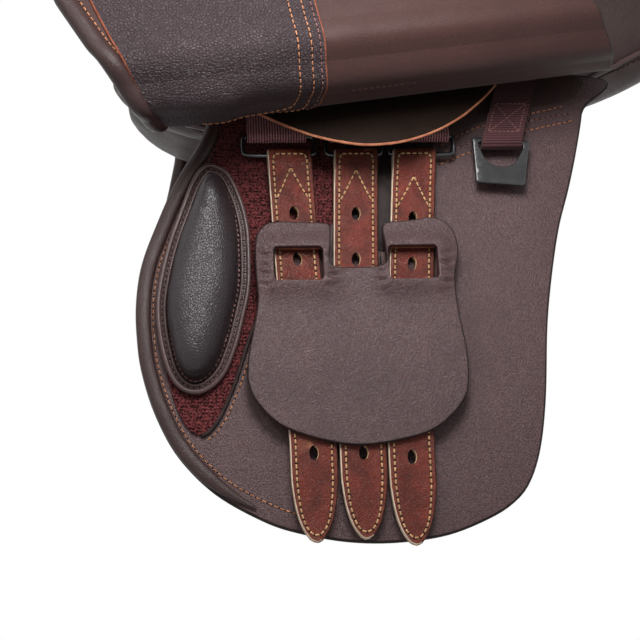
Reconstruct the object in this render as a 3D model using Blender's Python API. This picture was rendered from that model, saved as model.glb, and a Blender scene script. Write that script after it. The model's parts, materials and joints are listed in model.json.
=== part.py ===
# All-purpose saddle, real size in metres.
# -X is the front (pommel), +X the rear (cantle), -Y the near side, +Z up.
# The origin lies on the mid-plane where the panels bear on the horse's back.
# Near flap is stored turned up, as photographed; off flap is stored hanging.
# Side pieces are laid out in a leaning frame: u runs rearward, v down the
# sweat flap, w outward from its inner face.
import math

import bmesh
import bpy
from mathutils import Vector

# leaning frame of the sweat flap
LEAN = math.radians(20.0)
SIDE_Y = 0.150
SIDE_Z = 0.010

# sweat flap, outline as (u, v)
SWEAT_THICK = 0.004
SWEAT_OUTLINE = [
    (-0.100, -0.008), (-0.104, 0.012), (-0.109, 0.032), (-0.124, 0.059),
    (-0.135, 0.085), (-0.143, 0.108), (-0.146, 0.130), (-0.1455, 0.150),
    (-0.143, 0.168), (-0.136, 0.191), (-0.124, 0.214), (-0.105, 0.234),
    (-0.081, 0.2485), (-0.063, 0.2553), (-0.037, 0.2608), (-0.011, 0.262),
    (0.016, 0.259), (0.039, 0.251), (0.053, 0.243), (0.0625, 0.2325),
    (0.070, 0.214), (0.0755, 0.186), (0.080, 0.1465), (0.085, 0.118),
    (0.092, 0.088), (0.100, 0.064), (0.107, 0.040), (0.113, 0.015),
    (0.116, -0.008),
]

# padded roll sewn along the sweat flap's front edge
ROLL_GAP = 0.0003
ROLL_HEIGHT = 0.0037
ROLL_INSET = 0.0006
ROLL_WIDTH = 0.0072
ROLL_SECTION = [(0.0, 0.0), (0.0, 0.50), (0.14, 0.84), (0.36, 1.0), (0.64, 1.0), (0.86, 0.84), (1.0, 0.50), (1.0, 0.0)]
ROLL_FIRST = 3
ROLL_LAST = 23

# loop-fabric pad and the knee block it holds
PAD_THICK = 0.0015
PAD_OUTLINE = [
    (-0.099, 0.038), (-0.088, 0.040), (-0.079, 0.060), (-0.0765, 0.100),
    (-0.0765, 0.145), (-0.084, 0.182), (-0.098, 0.204), (-0.113, 0.204),
    (-0.125, 0.186), (-0.1320, 0.160), (-0.1345, 0.128), (-0.1285, 0.100),
    (-0.1180, 0.073), (-0.107, 0.052),
]
BLOCK_OUTLINE = [
    (-0.106, 0.049), (-0.0950, 0.0535), (-0.0880, 0.068), (-0.0838, 0.086),
    (-0.0830, 0.106), (-0.0838, 0.123), (-0.0875, 0.140), (-0.0922, 0.157),
    (-0.099, 0.172), (-0.110, 0.181), (-0.121, 0.180), (-0.1290, 0.170),
    (-0.1340, 0.150), (-0.1350, 0.128), (-0.1295, 0.100), (-0.1215, 0.076),
    (-0.114, 0.057),
]
BLOCK_BACK_W = 0.0061
BLOCK_FLANGE = 0.0025
BLOCK_CROWN_W = 0.0300

# girth straps (billets): centre lines as (v, u)
BILLET_WIDTH = 0.0248
BILLET_THICK = 0.0038
BILLET_BACK_W = 0.0080
BILLET_TIP_V = {"front": 0.2620, "middle": 0.2610, "rear": 0.2650}
BILLET_LINES = {
    "front": [(0.036, -0.0606), (0.110, -0.0578), (0.210, -0.0532), (0.270, -0.0532)],
    "middle": [(0.036, -0.0222), (0.110, -0.0258), (0.210, -0.0270), (0.270, -0.0274)],
    "rear": [(0.036, 0.0112), (0.110, 0.0052), (0.210, -0.0014), (0.270, -0.0018)],
}
HOLE_FIRST_V = {"front": 0.0806, "middle": 0.0812, "rear": 0.0841}
HOLE_PITCH = 0.0269
HOLE_COUNT = 6
HOLE_WIDE = 0.0038
HOLE_LONG = 0.0070

# rings between webs and billets
RING_ROD = 0.0016
RING_W = 0.0099
RING_TOP_V = 0.0335
RING_LOW_V = 0.0455
RING_SPAN = {"front": (-0.0861, -0.0457), "middle": (-0.0394, -0.0079), "rear": (-0.0037, 0.0336)}
EYE_GAP = 0.0003
WEB_SPAN = {"front": (-0.0835, -0.0505), "middle": (-0.0370, -0.0100), "rear": (-0.0010, 0.0310)}
WEB_THICK = 0.0022
WEB_LINE = [(0.0215, 0.0099), (0.006, 0.0092), (-0.030, 0.0020), (-0.060, -0.0105)]
WEB_SEAT_GAP = 0.0004

# spare plate ring behind the straps and its web
SPARE_TURN = math.radians(5.0)
SPARE_AT = (0.0605, 0.0385)
SPARE_W = 0.0120
SPARE_BAR = 0.0015
SPARE_TOP_HALF = 0.0165
SPARE_LOW_HALF = 0.0142
SPARE_DROP = 0.0262
SPARE_MOUTH_HALF = 0.0125
SPARE_MOUTH_LOW_HALF = 0.0060
SPARE_MOUTH_DROP = 0.0150
SPARE_THICK = 0.0030
SPARE_WEB_HALF = 0.0115
SPARE_WEB_LINE = [(0.026, 0.0120), (0.006, 0.0098), (-0.030, 0.0020), (-0.060, -0.0080)]
SPARE_WEB_SLANT = -0.33
SPARE_WEB_END = -0.0875

# buckle guard
GUARD_BACK_W = 0.0124
GUARD_THICK = 0.0030
GUARD_OUTLINE = [
    (-0.0812, 0.1016), (-0.0795, 0.0931), (-0.0730, 0.0872), (-0.0600, 0.0868), (-0.0470, 0.0874),
    (-0.0398, 0.0890), (-0.0398, 0.1000), (-0.0397, 0.1125), (-0.0253, 0.1135), (-0.0106, 0.1125),
    (-0.0104, 0.1000), (-0.0100, 0.0885), (0.0035, 0.0868), (0.0185, 0.0850), (0.0270, 0.0900),
    (0.0303, 0.0980), (0.0306, 0.1076), (0.0281, 0.1173), (0.0278, 0.1276), (0.0289, 0.1417),
    (0.0313, 0.1586), (0.0315, 0.1752), (0.0281, 0.1889), (0.0122, 0.2039), (-0.0098, 0.2104),
    (-0.0313, 0.2121), (-0.0522, 0.2079), (-0.0702, 0.2006), (-0.0811, 0.1897), (-0.0864, 0.1789),
    (-0.0866, 0.1653), (-0.0828, 0.1463), (-0.0804, 0.1325), (-0.0809, 0.1213), (-0.0814, 0.1101),
]
WINDOW_V = (0.1025, 0.1215)
WINDOW_U = {"front": (-0.0718, -0.0440), "rear": (-0.0087, 0.0190)}
BAR_V = (0.1045, 0.1195)
BAR_W = (0.0052, 0.0076)
BAR_WALL = 0.0029

# flap fold: hinge line in the leaning frame, links and turn
FOLD_V = 0.0075
FOLD_W = 0.0245
FOLD_TILT = 0.176
FOLD_YAW = 0.090
FLAP_THICK = 0.0045
LINK_LENGTH = 0.024
LINK_TURN = math.radians(46.25)
TOP_ANGLE = math.radians(17.0)
LINK_GAP = 0.00015
FLAP_FRONT = [
    (-0.1180, -0.010), (-0.1260, 0.012), (-0.1295, 0.035), (-0.1350, 0.060), (-0.1425, 0.090),
    (-0.1510, 0.120), (-0.1570, 0.150), (-0.1580, 0.175), (-0.1530, 0.200), (-0.1400, 0.224),
    (-0.1180, 0.246), (-0.0880, 0.2625),
]
FLAP_FOOT = [(-0.0500, 0.2735), (-0.0100, 0.2765), (0.0300, 0.2710)]
FLAP_REAR = [
    (0.0620, 0.2580), (0.0820, 0.2380), (0.0920, 0.2100), (0.0965, 0.1800), (0.1000, 0.1400),
    (0.1060, 0.1000), (0.1140, 0.0600), (0.1220, 0.0200), (0.1270, -0.0200), (0.1290, -0.040),
]
TOP_X = (-0.164, 0.122)
TOP_OUT = 0.003
TOP_TUCK = 0.009
TOP_UNDER = 0.0032
TOP_FLAT = (-0.038, -0.076)
TOP_FLAT_REAR = (-0.022, -0.045)

# web guard (crescent) as (t, s) beyond the hinge line
CRESCENT_THICK = 0.0025
CRESCENT_GAP = 0.0004
CRESCENT = [
    (-0.0880, 0.0008), (-0.0780, 0.0120), (-0.0570, 0.0286), (-0.0350, 0.0390), (-0.0190, 0.0420),
    (-0.0030, 0.0415), (0.0150, 0.0370), (0.0340, 0.0280), (0.0550, 0.0126), (0.0650, 0.0008),
]

# skirt stations: t, s and standoff of the lower edge, x at the seat edge
SKIRT_THICK = 0.0035
SKIRT_STATIONS = [
    (-0.150, -0.100, 0.008, -0.166), (-0.158, -0.074, 0.0165, -0.154), (-0.154, -0.052, 0.022, -0.142),
    (-0.138, -0.036, 0.0235, -0.126), (-0.114, -0.029, 0.0235, -0.108), (-0.088, -0.029, 0.0235, -0.088),
    (-0.064, -0.037, 0.0235, -0.068), (-0.044, -0.050, 0.021, -0.050), (-0.028, -0.063, 0.015, -0.034),
    (-0.012, -0.076, 0.008, -0.018), (0.002, -0.086, 0.003, -0.004),
]
SKIRT_OUT = 0.0007
SKIRT_KNEE_S = -0.078
SKIRT_BULGE = 0.003

# stirrup bar and its catch as (t, e), extruded along s
BAR_S = (-0.072, -0.056)
BAR_SEAT = 0.0003
BAR_BASE = FLAP_THICK + BAR_SEAT
BAR_ARM = 0.0032
BAR_GAP = 0.0090
BAR_REACH = 0.0040
BAR_MOUTH = BAR_BASE + BAR_ARM + BAR_GAP
BAR_PROFILE = [
    (-0.128, BAR_BASE), (-0.064, BAR_BASE), (-0.064, BAR_BASE + BAR_ARM), (-0.1205, BAR_BASE + BAR_ARM),
    (-0.1205, BAR_MOUTH), (-0.0745, BAR_MOUTH), (-0.0735, BAR_MOUTH + 0.001),
    (-0.0735, BAR_MOUTH + BAR_REACH), (-0.126, BAR_MOUTH + BAR_REACH), (-0.128, BAR_MOUTH + BAR_REACH - 0.002),
]
CATCH_PIN = (-0.0690, 0.0114)
CATCH_PROFILE = [
    (-0.0712, 0.0097), (-0.0700, 0.0086), (-0.0680, 0.0086), (-0.0668, 0.0099), (-0.0668, 0.0150),
    (-0.0690, 0.0208), (-0.0705, 0.0218), (-0.0732, 0.0218), (-0.0732, 0.0213), (-0.0716, 0.0172),
]

# seat: x, half width, height at the middle, height at the edge
SEAT_STATIONS = [
    (-0.205, 0.026, 0.170, 0.156), (-0.190, 0.046, 0.191, 0.156), (-0.160, 0.060, 0.187, 0.138),
    (-0.110, 0.076, 0.158, 0.118), (-0.050, 0.087, 0.135, 0.106), (0.020, 0.102, 0.129, 0.107),
    (0.090, 0.132, 0.138, 0.124), (0.150, 0.154, 0.160, 0.151), (0.200, 0.150, 0.192, 0.186),
    (0.232, 0.112, 0.225, 0.216), (0.247, 0.055, 0.237, 0.232),
]
COVER_THICK = 0.003
COVER_FALL = 0.012
COVER_FALL_REAR = 0.030
FOAM_GAP = 0.0007
FOAM_DEEP = 0.020
FOAM_EDGE = 0.007
FOAM_SIDE = 0.0045
SEAT_FRACTIONS = [-1.0, -0.94, -0.8, -0.6, -0.4, -0.2, 0.0, 0.2, 0.4, 0.6, 0.8, 0.94, 1.0]
FOAM_X = (-0.191, 0.233)
FOAM_FRACTIONS = [-1.0, -0.85, -0.6, -0.3, 0.0, 0.3, 0.6, 0.85, 1.0]
WEBBING_X = (-0.181, 0.222)
WEBBING_THICK = 0.002
WEBBING_UNDER = 0.0004

# tree: one closed rail loop, half of it, mirrored
TREE_HALF = [
    (-0.168, 0.000, 0.151), (-0.165, 0.026, 0.143), (-0.155, 0.048, 0.116), (-0.120, 0.060, 0.093),
    (-0.070, 0.067, 0.083), (-0.010, 0.074, 0.077), (0.050, 0.086, 0.081), (0.105, 0.106, 0.099),
    (0.155, 0.120, 0.122), (0.190, 0.107, 0.142), (0.210, 0.068, 0.160), (0.217, 0.000, 0.169),
]
TREE_WIDE = 0.024
TREE_DEEP = 0.010

# gullet plate: lies under the tree's head, legs run on down as (y, z)
GULLET_LEG = [(0.0370, 0.0980), (0.0600, 0.0790), (0.0850, 0.0685), (0.1080, 0.0610)]
GULLET_LEG_X = -0.1530
GULLET_WIDE = 0.020
GULLET_THICK = 0.003
GULLET_SEAT = 0.0013

# panel stations: x, inner y, outer y, inner bottom z, outer bottom z, inner top z, outer top z
PANEL_STATIONS = [
    (-0.165, 0.042, 0.100, 0.034, 0.014, 0.060, 0.042), (-0.140, 0.034, 0.130, 0.012, -0.010, 0.060, 0.034),
    (-0.090, 0.031, 0.1510, 0.002, -0.026, 0.056, 0.024), (0.000, 0.030, 0.1531, 0.000, -0.024, 0.052, 0.022),
    (0.080, 0.031, 0.1470, 0.002, -0.012, 0.056, 0.032), (0.140, 0.033, 0.128, 0.012, 0.006, 0.098, 0.090),
    (0.190, 0.036, 0.116, 0.034, 0.032, 0.1423, 0.1323), (0.226, 0.046, 0.090, 0.070, 0.070, 0.1643, 0.1563),
]

COLLECTION = "all_purpose_saddle"
CUTTERS = "cutters"

COLORS = {
    "dark_leather": (0.060, 0.045, 0.042, 1.0),
    "flesh_leather": (0.190, 0.120, 0.085, 1.0),
    "billet_leather": (0.230, 0.095, 0.055, 1.0),
    "web": (0.230, 0.160, 0.150, 1.0),
    "loop": (0.150, 0.030, 0.040, 1.0),
    "steel": (0.500, 0.500, 0.510, 1.0),
    "black_metal": (0.020, 0.020, 0.022, 1.0),
    "wood": (0.520, 0.380, 0.230, 1.0),
    "foam": (0.750, 0.700, 0.560, 1.0),
}


def clear_scene():
    for obj in list(bpy.data.objects):
        bpy.data.objects.remove(obj, do_unlink=True)


def collection(name):
    made = bpy.data.collections.new(name)
    bpy.context.scene.collection.children.link(made)
    return made


def finish(name, bm, color, origin=(0.0, 0.0, 0.0), group=COLLECTION):
    """Turns a bmesh into a named object whose origin is on its joint axis."""
    bmesh.ops.recalc_face_normals(bm, faces=bm.faces[:])
    origin = Vector(origin)
    for vert in bm.verts:
        vert.co -= origin
    mesh = bpy.data.meshes.new(name)
    bm.to_mesh(mesh)
    bm.free()
    obj = bpy.data.objects.new(name, mesh)
    obj.location = origin
    if color:
        mat = bpy.data.materials.new(name)
        mat.use_nodes = True
        shade = mat.node_tree.nodes["Principled BSDF"]
        shade.inputs["Base Color"].default_value = COLORS[color]
        shade.inputs["Roughness"].default_value = 0.5
        shade.inputs["Metallic"].default_value = 1.0 if "metal" in color or color == "steel" else 0.0
        mesh.materials.append(mat)
    bpy.data.collections[group].objects.link(obj)
    return obj


def cutter(name, bm):
    obj = finish(name, bm, None, group=CUTTERS)
    obj.hide_render = True
    obj.display_type = "WIRE"
    return obj


def boolean(obj, tool, operation):
    mod = obj.modifiers.new(operation.lower() + "_" + tool.name, "BOOLEAN")
    mod.object = tool
    mod.operation = operation
    mod.solver = "EXACT"


def add_rings(bm, rings, closed=False):
    """Skins a row of equal rings; open rows get a cap at each end."""
    rows = []
    for ring in rings:
        rows.append([bm.verts.new(point) for point in ring])
    count = len(rows[0])
    pairs = list(zip(rows, rows[1:]))
    if closed:
        pairs.append((rows[-1], rows[0]))
    for low, high in pairs:
        for i in range(count):
            j = (i + 1) % count
            bm.faces.new((low[i], low[j], high[j], high[i]))
    if not closed:
        bm.faces.new(rows[0])
        bm.faces.new(list(reversed(rows[-1])))
    return bm


def ringed(name, rings, color, origin=(0.0, 0.0, 0.0), closed=False):
    return finish(name, add_rings(bmesh.new(), rings, closed), color, origin)


def smooth_loop(points, steps):
    """Closed Catmull-Rom curve through the points."""
    count = len(points)
    made = []
    for i in range(count):
        p0, p1, p2, p3 = (Vector(points[(i + k - 1) % count]) for k in range(4))
        for j in range(steps):
            made.append(catmull(p0, p1, p2, p3, j / steps))
    return made


def smooth_line(points, steps):
    """Open Catmull-Rom curve through the points."""
    made = []
    last = len(points) - 1
    for i in range(last):
        p0 = Vector(points[max(i - 1, 0)])
        p3 = Vector(points[min(i + 2, last)])
        for j in range(steps):
            made.append(catmull(p0, Vector(points[i]), Vector(points[i + 1]), p3, j / steps))
    made.append(Vector(points[last]))
    return made


def four_line(points, steps):
    """Open curve through rows of four numbers."""
    first = smooth_line([row[:2] for row in points], steps)
    second = smooth_line([row[2:] for row in points], steps)
    return [(a[0], a[1], b[0], b[1]) for a, b in zip(first, second)]


def catmull(p0, p1, p2, p3, f):
    square = f * f
    cube = square * f
    part = (p2 - p0) * f + (2 * p0 - 5 * p1 + 4 * p2 - p3) * square
    return 0.5 * (2 * p1 + part + (3 * p1 - p0 - 3 * p2 + p3) * cube)


def inset(points, distance):
    """Moves each corner of a closed 2-D outline inward."""
    count = len(points)
    area = sum(points[i][0] * points[(i + 1) % count][1] - points[(i + 1) % count][0] * points[i][1] for i in range(count))
    turn = 1.0 if area > 0 else -1.0
    made = []
    for i in range(count):
        back = Vector(points[i]) - Vector(points[i - 1])
        ahead = Vector(points[(i + 1) % count]) - Vector(points[i])
        n1 = Vector((-back[1], back[0])).normalized() * turn
        n2 = Vector((-ahead[1], ahead[0])).normalized() * turn
        mid = (n1 + n2).normalized()
        scale = 1.0 / max(mid.dot(n1), 0.5)
        made.append(Vector(points[i]) + mid * distance * scale)
    return made


def place(side, u, v, w):
    """Point of the leaning frame in the saddle's own axes; side is -1 near, +1 off."""
    y = SIDE_Y + v * math.sin(LEAN) + w * math.cos(LEAN)
    z = SIDE_Z - v * math.cos(LEAN) + w * math.sin(LEAN)
    return Vector((u, side * y, z))


def fold_frame(side):
    """Hinge line origin, axis, hanging direction and outward normal."""
    start = place(side, 0.0, FOLD_V, FOLD_W)
    axis = (place(side, 1.0, FOLD_V - FOLD_TILT, FOLD_W - FOLD_YAW) - start).normalized()
    down = place(side, 0.0, FOLD_V + 1.0, FOLD_W) - start
    down = (down - axis * down.dot(axis)).normalized()
    out = axis.cross(down)
    if out.y * side < 0:
        out.negate()
    return start, axis, down, out


def fold_coords(u, v):
    """Lowered flap position (u, v) as distance along and below the hinge line."""
    axis = Vector((1.0, -FOLD_TILT, -FOLD_YAW)).normalized()
    down = Vector((0.0, 1.0, 0.0))
    down = (down - axis * down.dot(axis)).normalized()
    here = Vector((u, v - FOLD_V, -FOLD_YAW * u))
    return here.dot(axis), here.dot(down)


def link_frame(side, index, raised):
    """Origin, run direction and grain normal of link 0 (top), 1, 2, 3 and 4 (flap)."""
    start, axis, down, out = fold_frame(side)
    turn = LINK_TURN if raised else 0.0
    angles = [TOP_ANGLE, turn, 2 * turn, 3 * turn, 4 * turn]
    for k in range(1, index):
        start = start + (down * math.cos(angles[k]) + out * math.sin(angles[k])) * LINK_LENGTH
    run = down * math.cos(angles[index]) + out * math.sin(angles[index])
    grain = out * math.cos(angles[index]) - down * math.sin(angles[index])
    return start, axis, run, grain


def edge_at(edge, s):
    """Distance along the hinge line of an edge polyline at depth s."""
    rows = sorted(((fold_coords(u, v)) for u, v in edge), key=lambda p: p[1])
    for (t0, s0), (t1, s1) in zip(rows, rows[1:]):
        if s0 <= s <= s1:
            return t0 + (t1 - t0) * (s - s0) / (s1 - s0)
    return rows[0][0] if s < rows[0][1] else rows[-1][0]


def plate(name, side, outline, levels, color, origin=(0.0, 0.0, 0.0)):
    """Bevelled plate in the leaning frame; levels are (inset, w)."""
    rings = []
    for distance, w in levels:
        rings.append([place(side, p[0], p[1], w) for p in inset(outline, distance)])
    return ringed(name, rings, color, origin)


def flat_levels(low, high, bevel=0.0007):
    return [(bevel, low), (0.0, low + bevel), (0.0, high - bevel), (bevel, high)]


def sweat_flap(prefix, side):
    plate(prefix + "sweat_flap", side, smooth_loop(SWEAT_OUTLINE, 2), flat_levels(0.0, SWEAT_THICK), "dark_leather")


def sweat_roll(prefix, side):
    """Half-round bead on the outer face, along the front edge only."""
    outline = smooth_loop(SWEAT_OUTLINE, 2)
    outer = inset(outline, ROLL_INSET)
    inner = inset(outline, ROLL_INSET + ROLL_WIDTH)
    low = SWEAT_THICK + ROLL_GAP
    rings = []
    for i in range(ROLL_FIRST, ROLL_LAST + 1):
        ends = 0.6 if i in (ROLL_FIRST, ROLL_LAST) else 1.0
        points = []
        for across, up in ROLL_SECTION:
            at = outer[i] + (inner[i] - outer[i]) * (0.5 + (across - 0.5) * ends)
            points.append(place(side, at[0], at[1], low + ROLL_HEIGHT * up * ends))
        rings.append(points)
    ringed(prefix + "sweat_roll", rings, "dark_leather")


def loop_pad(prefix, side):
    low = SWEAT_THICK + 0.0003
    plate(prefix + "loop_pad", side, smooth_loop(PAD_OUTLINE, 1), [(0.0, low), (0.0, low + PAD_THICK)], "loop")


def knee_block(prefix, side):
    base = BLOCK_BACK_W
    top = base + BLOCK_FLANGE
    rise = BLOCK_CROWN_W - top
    levels = [
        (0.0010, base), (0.0, base + 0.0010), (0.0, top - 0.0008), (0.0012, top), (0.0052, top),
        (0.0056, top + 0.30 * rise), (0.0070, top + 0.62 * rise), (0.0105, top + 0.87 * rise),
        (0.0150, top + 0.97 * rise), (0.0200, BLOCK_CROWN_W),
    ]
    centre = place(side, -0.108, 0.115, base)
    plate(prefix + "knee_block", side, smooth_loop(BLOCK_OUTLINE, 2), levels, "dark_leather", centre)


def at_line(line, v):
    """Sideways position of a strap's centre line at depth v."""
    for (v0, u0), (v1, u1) in zip(line, line[1:]):
        if v <= v1:
            return u0 + (u1 - u0) * (v - v0) / (v1 - v0)
    return line[-1][1]


def billet_rings(side, key):
    """Cross-sections of the strap from its eye at the ring down to the point."""
    line = BILLET_LINES[key]
    tip = BILLET_TIP_V[key]
    eye = RING_ROD + EYE_GAP + 0.0021
    low = BILLET_BACK_W
    high = BILLET_BACK_W + BILLET_THICK
    half = BILLET_WIDTH / 2
    rows = []
    for angle in (80, 50, 20):
        reach = eye * math.sin(math.radians(angle))
        spread = eye * math.cos(math.radians(angle))
        rows.append((RING_LOW_V - reach, RING_W - spread, RING_W + spread, half))
    rows.append((RING_LOW_V + 0.001, RING_W - eye, RING_W + eye, half))
    rows.append((RING_LOW_V + 0.012, low - 0.0004, high + 0.0012, half))
    rows.append((RING_LOW_V + 0.018, low, high, half))
    rows.append((0.110, low, high, half))
    rows.append((0.210, low, high, half))
    rows.append((tip - 0.034, low, high, half))
    rows.append((tip - 0.018, low, high, half * 0.82))
    rows.append((tip - 0.006, low, high, half * 0.52))
    rows.append((tip, low, high, half * 0.22))
    rings = []
    for v, w0, w1, reach in rows:
        u = at_line(line, v)
        rim = min(0.0007, (w1 - w0) * 0.3)
        ring = [(u - reach + rim, w0), (u + reach - rim, w0), (u + reach, w0 + rim), (u + reach, w1 - rim),
                (u + reach - rim, w1), (u - reach + rim, w1), (u - reach, w1 - rim), (u - reach, w0 + rim)]
        rings.append([place(side, a, v, b) for a, b in ring])
    return rings


def billet_cutter(prefix, side, key):
    """Six long punched holes and the bore of the eye."""
    line = BILLET_LINES[key]
    bm = bmesh.new()
    for n in range(HOLE_COUNT):
        v = HOLE_FIRST_V[key] + HOLE_PITCH * n
        u = at_line(line, v)
        rings = []
        for w in (BILLET_BACK_W - 0.002, BILLET_BACK_W + BILLET_THICK + 0.002):
            ring = []
            for k in range(10):
                a = 2 * math.pi * k / 10
                ring.append(place(side, u + HOLE_WIDE / 2 * math.cos(a), v + HOLE_LONG / 2 * math.sin(a), w))
            rings.append(ring)
        add_rings(bm, rings)
    add_rings(bm, bore_rings(side, RING_LOW_V, RING_W, RING_ROD + EYE_GAP, -0.12, 0.12))
    return cutter(prefix + key + "_billet_holes", bm)


def bore_rings(side, v, w, radius, u0, u1, sides=12):
    rings = []
    for u in (u0, u1):
        ring = []
        for k in range(sides):
            a = 2 * math.pi * (k + 0.5) / sides
            ring.append(place(side, u, v + radius * math.sin(a), w + radius * math.cos(a)))
        rings.append(ring)
    return rings


def billet(prefix, side, key):
    pivot = place(side, 0.0, RING_LOW_V, RING_W)
    obj = ringed(prefix + key + "_billet", billet_rings(side, key), "billet_leather", pivot)
    boolean(obj, billet_cutter(prefix, side, key), "DIFFERENCE")


def ring(prefix, side, key):
    """Rectangular ring of round rod with cut corners."""
    u0, u1 = RING_SPAN[key]
    v0, v1 = RING_TOP_V, RING_LOW_V
    c = 0.0012
    path = [(u0 + c, v0), (u1 - c, v0), (u1, v0 + c), (u1, v1 - c), (u1 - c, v1), (u0 + c, v1), (u0, v1 - c), (u0, v0 + c)]
    rings = []
    count = len(path)
    for i in range(count):
        back = (Vector(path[i]) - Vector(path[i - 1])).normalized()
        ahead = (Vector(path[(i + 1) % count]) - Vector(path[i])).normalized()
        run = (back + ahead).normalized()
        across = Vector((-run[1], run[0])) / max(run.dot(back), 0.5)
        ring_points = []
        for k in range(8):
            a = 2 * math.pi * (k + 0.5) / 8
            at = Vector(path[i]) + across * RING_ROD * math.cos(a)
            ring_points.append(place(side, at[0], at[1], RING_W + RING_ROD * math.sin(a)))
        rings.append(ring_points)
    ringed(prefix + key + "_ring", rings, "black_metal", closed=True)


def web_rings(side, line, bar_v, bar_w, eye, span, slant, thick):
    """Strip sections: an eye at the ring, then a single layer up to the tree."""
    u0, u1 = span
    rows = []
    for angle in (80, 50, 20):
        reach = eye * math.sin(math.radians(angle))
        spread = eye * math.cos(math.radians(angle))
        rows.append((bar_v + reach, bar_w, spread, 0.0))
    rows.append((bar_v - 0.001, bar_w, eye, 0.0))
    points = [Vector(p) for p in line]
    for i, point in enumerate(points):
        back = points[i] - points[max(i - 1, 0)]
        ahead = points[min(i + 1, len(points) - 1)] - points[i]
        run = (back.normalized() + ahead.normalized()).normalized()
        lean = math.atan2(run[1], -run[0])
        rows.append((point[0], point[1], thick / 2, lean))
    rings = []
    for v, w, half, lean in rows:
        dv = half * math.sin(lean)
        dw = half * math.cos(lean)
        shift = slant * min(v - bar_v, 0.0)
        ring_points = [(u0, -1), (u1, -1), (u1, 1), (u0, 1)]
        rings.append([place(side, u + shift, v + sign * dv, w + sign * dw) for u, sign in ring_points])
    return rings


def tree_path():
    """Half of the tree's centre line, from the head round to the cantle."""
    return [Vector(p) for p in smooth_line(TREE_HALF, 3)]


def web_seat(x0, x1):
    """End of a web's line, laid flat against the underside of the tree rail."""
    path = tree_path()
    spots = []
    for n in range(7):
        x = x0 + (x1 - x0) * n / 6
        for low, high in zip(path, path[1:]):
            if low.x <= x <= high.x and high.x > low.x:
                spots.append(low + (high - low) * (x - low.x) / (high.x - low.x))
                break
    y = sum(p.y for p in spots) / len(spots)
    wide = max(p.y for p in spots) + TREE_WIDE / 2
    z = min(p.z for p in spots) - TREE_DEEP / 2 * 1.03 - WEB_SEAT_GAP - WEB_THICK / 2
    made = []
    for py, pz in ((wide + 0.004, z - 0.0010), (y, z)):
        dy = py - SIDE_Y
        dz = pz - SIDE_Z
        made.append((dy * math.sin(LEAN) - dz * math.cos(LEAN), dy * math.cos(LEAN) + dz * math.sin(LEAN)))
    return made


def web(prefix, side, key):
    eye = RING_ROD + EYE_GAP + 0.0019
    rings = web_rings(side, WEB_LINE + web_seat(*WEB_SPAN[key]), RING_TOP_V, RING_W, eye, WEB_SPAN[key], 0.0, WEB_THICK)
    obj = ringed(prefix + key + "_web", rings, "web")
    bore = add_rings(bmesh.new(), bore_rings(side, RING_TOP_V, RING_W, RING_ROD + EYE_GAP, -0.12, 0.12))
    boolean(obj, cutter(prefix + key + "_web_bore", bore), "DIFFERENCE")


def spare_place(side, a, b, w):
    """a along the spare ring's bar, b down from it."""
    u = SPARE_AT[0] + a * math.cos(SPARE_TURN) - b * math.sin(SPARE_TURN)
    v = SPARE_AT[1] + a * math.sin(SPARE_TURN) + b * math.cos(SPARE_TURN)
    return place(side, u, v, w)


def spare_ring(prefix, side):
    """Stamped plate ring with a wide lower bar and a U-shaped mouth."""
    t = SPARE_BAR
    outer = [(-SPARE_TOP_HALF, -t), (SPARE_TOP_HALF, -t), (SPARE_TOP_HALF, 0.006), (SPARE_LOW_HALF, SPARE_DROP - 0.004),
             (SPARE_LOW_HALF - 0.004, SPARE_DROP), (-SPARE_LOW_HALF + 0.004, SPARE_DROP),
             (-SPARE_LOW_HALF, SPARE_DROP - 0.004), (-SPARE_TOP_HALF, 0.006)]
    m = SPARE_MOUTH_HALF
    n = SPARE_MOUTH_LOW_HALF
    d = SPARE_MOUTH_DROP
    inner = [(-m, t), (m, t), (m, t + 0.004), (n + 0.003, d - 0.003), (n, d), (-n, d), (-n - 0.003, d - 0.003), (-m, t + 0.004)]
    w0 = SPARE_W - SPARE_THICK / 2
    w1 = SPARE_W + SPARE_THICK / 2
    rim = 0.0005
    rings = []
    for points, w in ((inset(outer, rim), w0), (outer, w0 + rim), (outer, w1 - rim), (inset(outer, rim), w1), (inner, w1), (inner, w0)):
        rings.append([spare_place(side, p[0], p[1], w) for p in points])
    ringed(prefix + "spare_ring", rings, "black_metal", spare_place(side, 0.0, 0.0, SPARE_W), closed=True)


def spare_web(prefix, side):
    eye = 0.0046
    span = (SPARE_AT[0] - SPARE_WEB_HALF, SPARE_AT[0] + SPARE_WEB_HALF)
    shift = SPARE_WEB_SLANT * (SPARE_WEB_END - SPARE_AT[1])
    rings = web_rings(side, SPARE_WEB_LINE + web_seat(span[0] + shift, span[1] + shift), SPARE_AT[1], SPARE_W, eye, span, SPARE_WEB_SLANT, WEB_THICK)
    obj = ringed(prefix + "spare_web", rings, "web")
    bore = []
    for a in (-0.03, 0.03):
        loop = []
        for k in range(12):
            angle = 2 * math.pi * (k + 0.5) / 12
            loop.append(spare_place(side, a, 0.0025 * math.sin(angle), SPARE_W + 0.0025 * math.cos(angle)))
        bore.append(loop)
    boolean(obj, cutter(prefix + "spare_web_bore", add_rings(bmesh.new(), bore)), "DIFFERENCE")


def box_rings(side, u, v, w):
    rings = []
    for level in w:
        rings.append([place(side, a, b, level) for a, b in ((u[0], v[0]), (u[1], v[0]), (u[1], v[1]), (u[0], v[1]))])
    return rings


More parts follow.
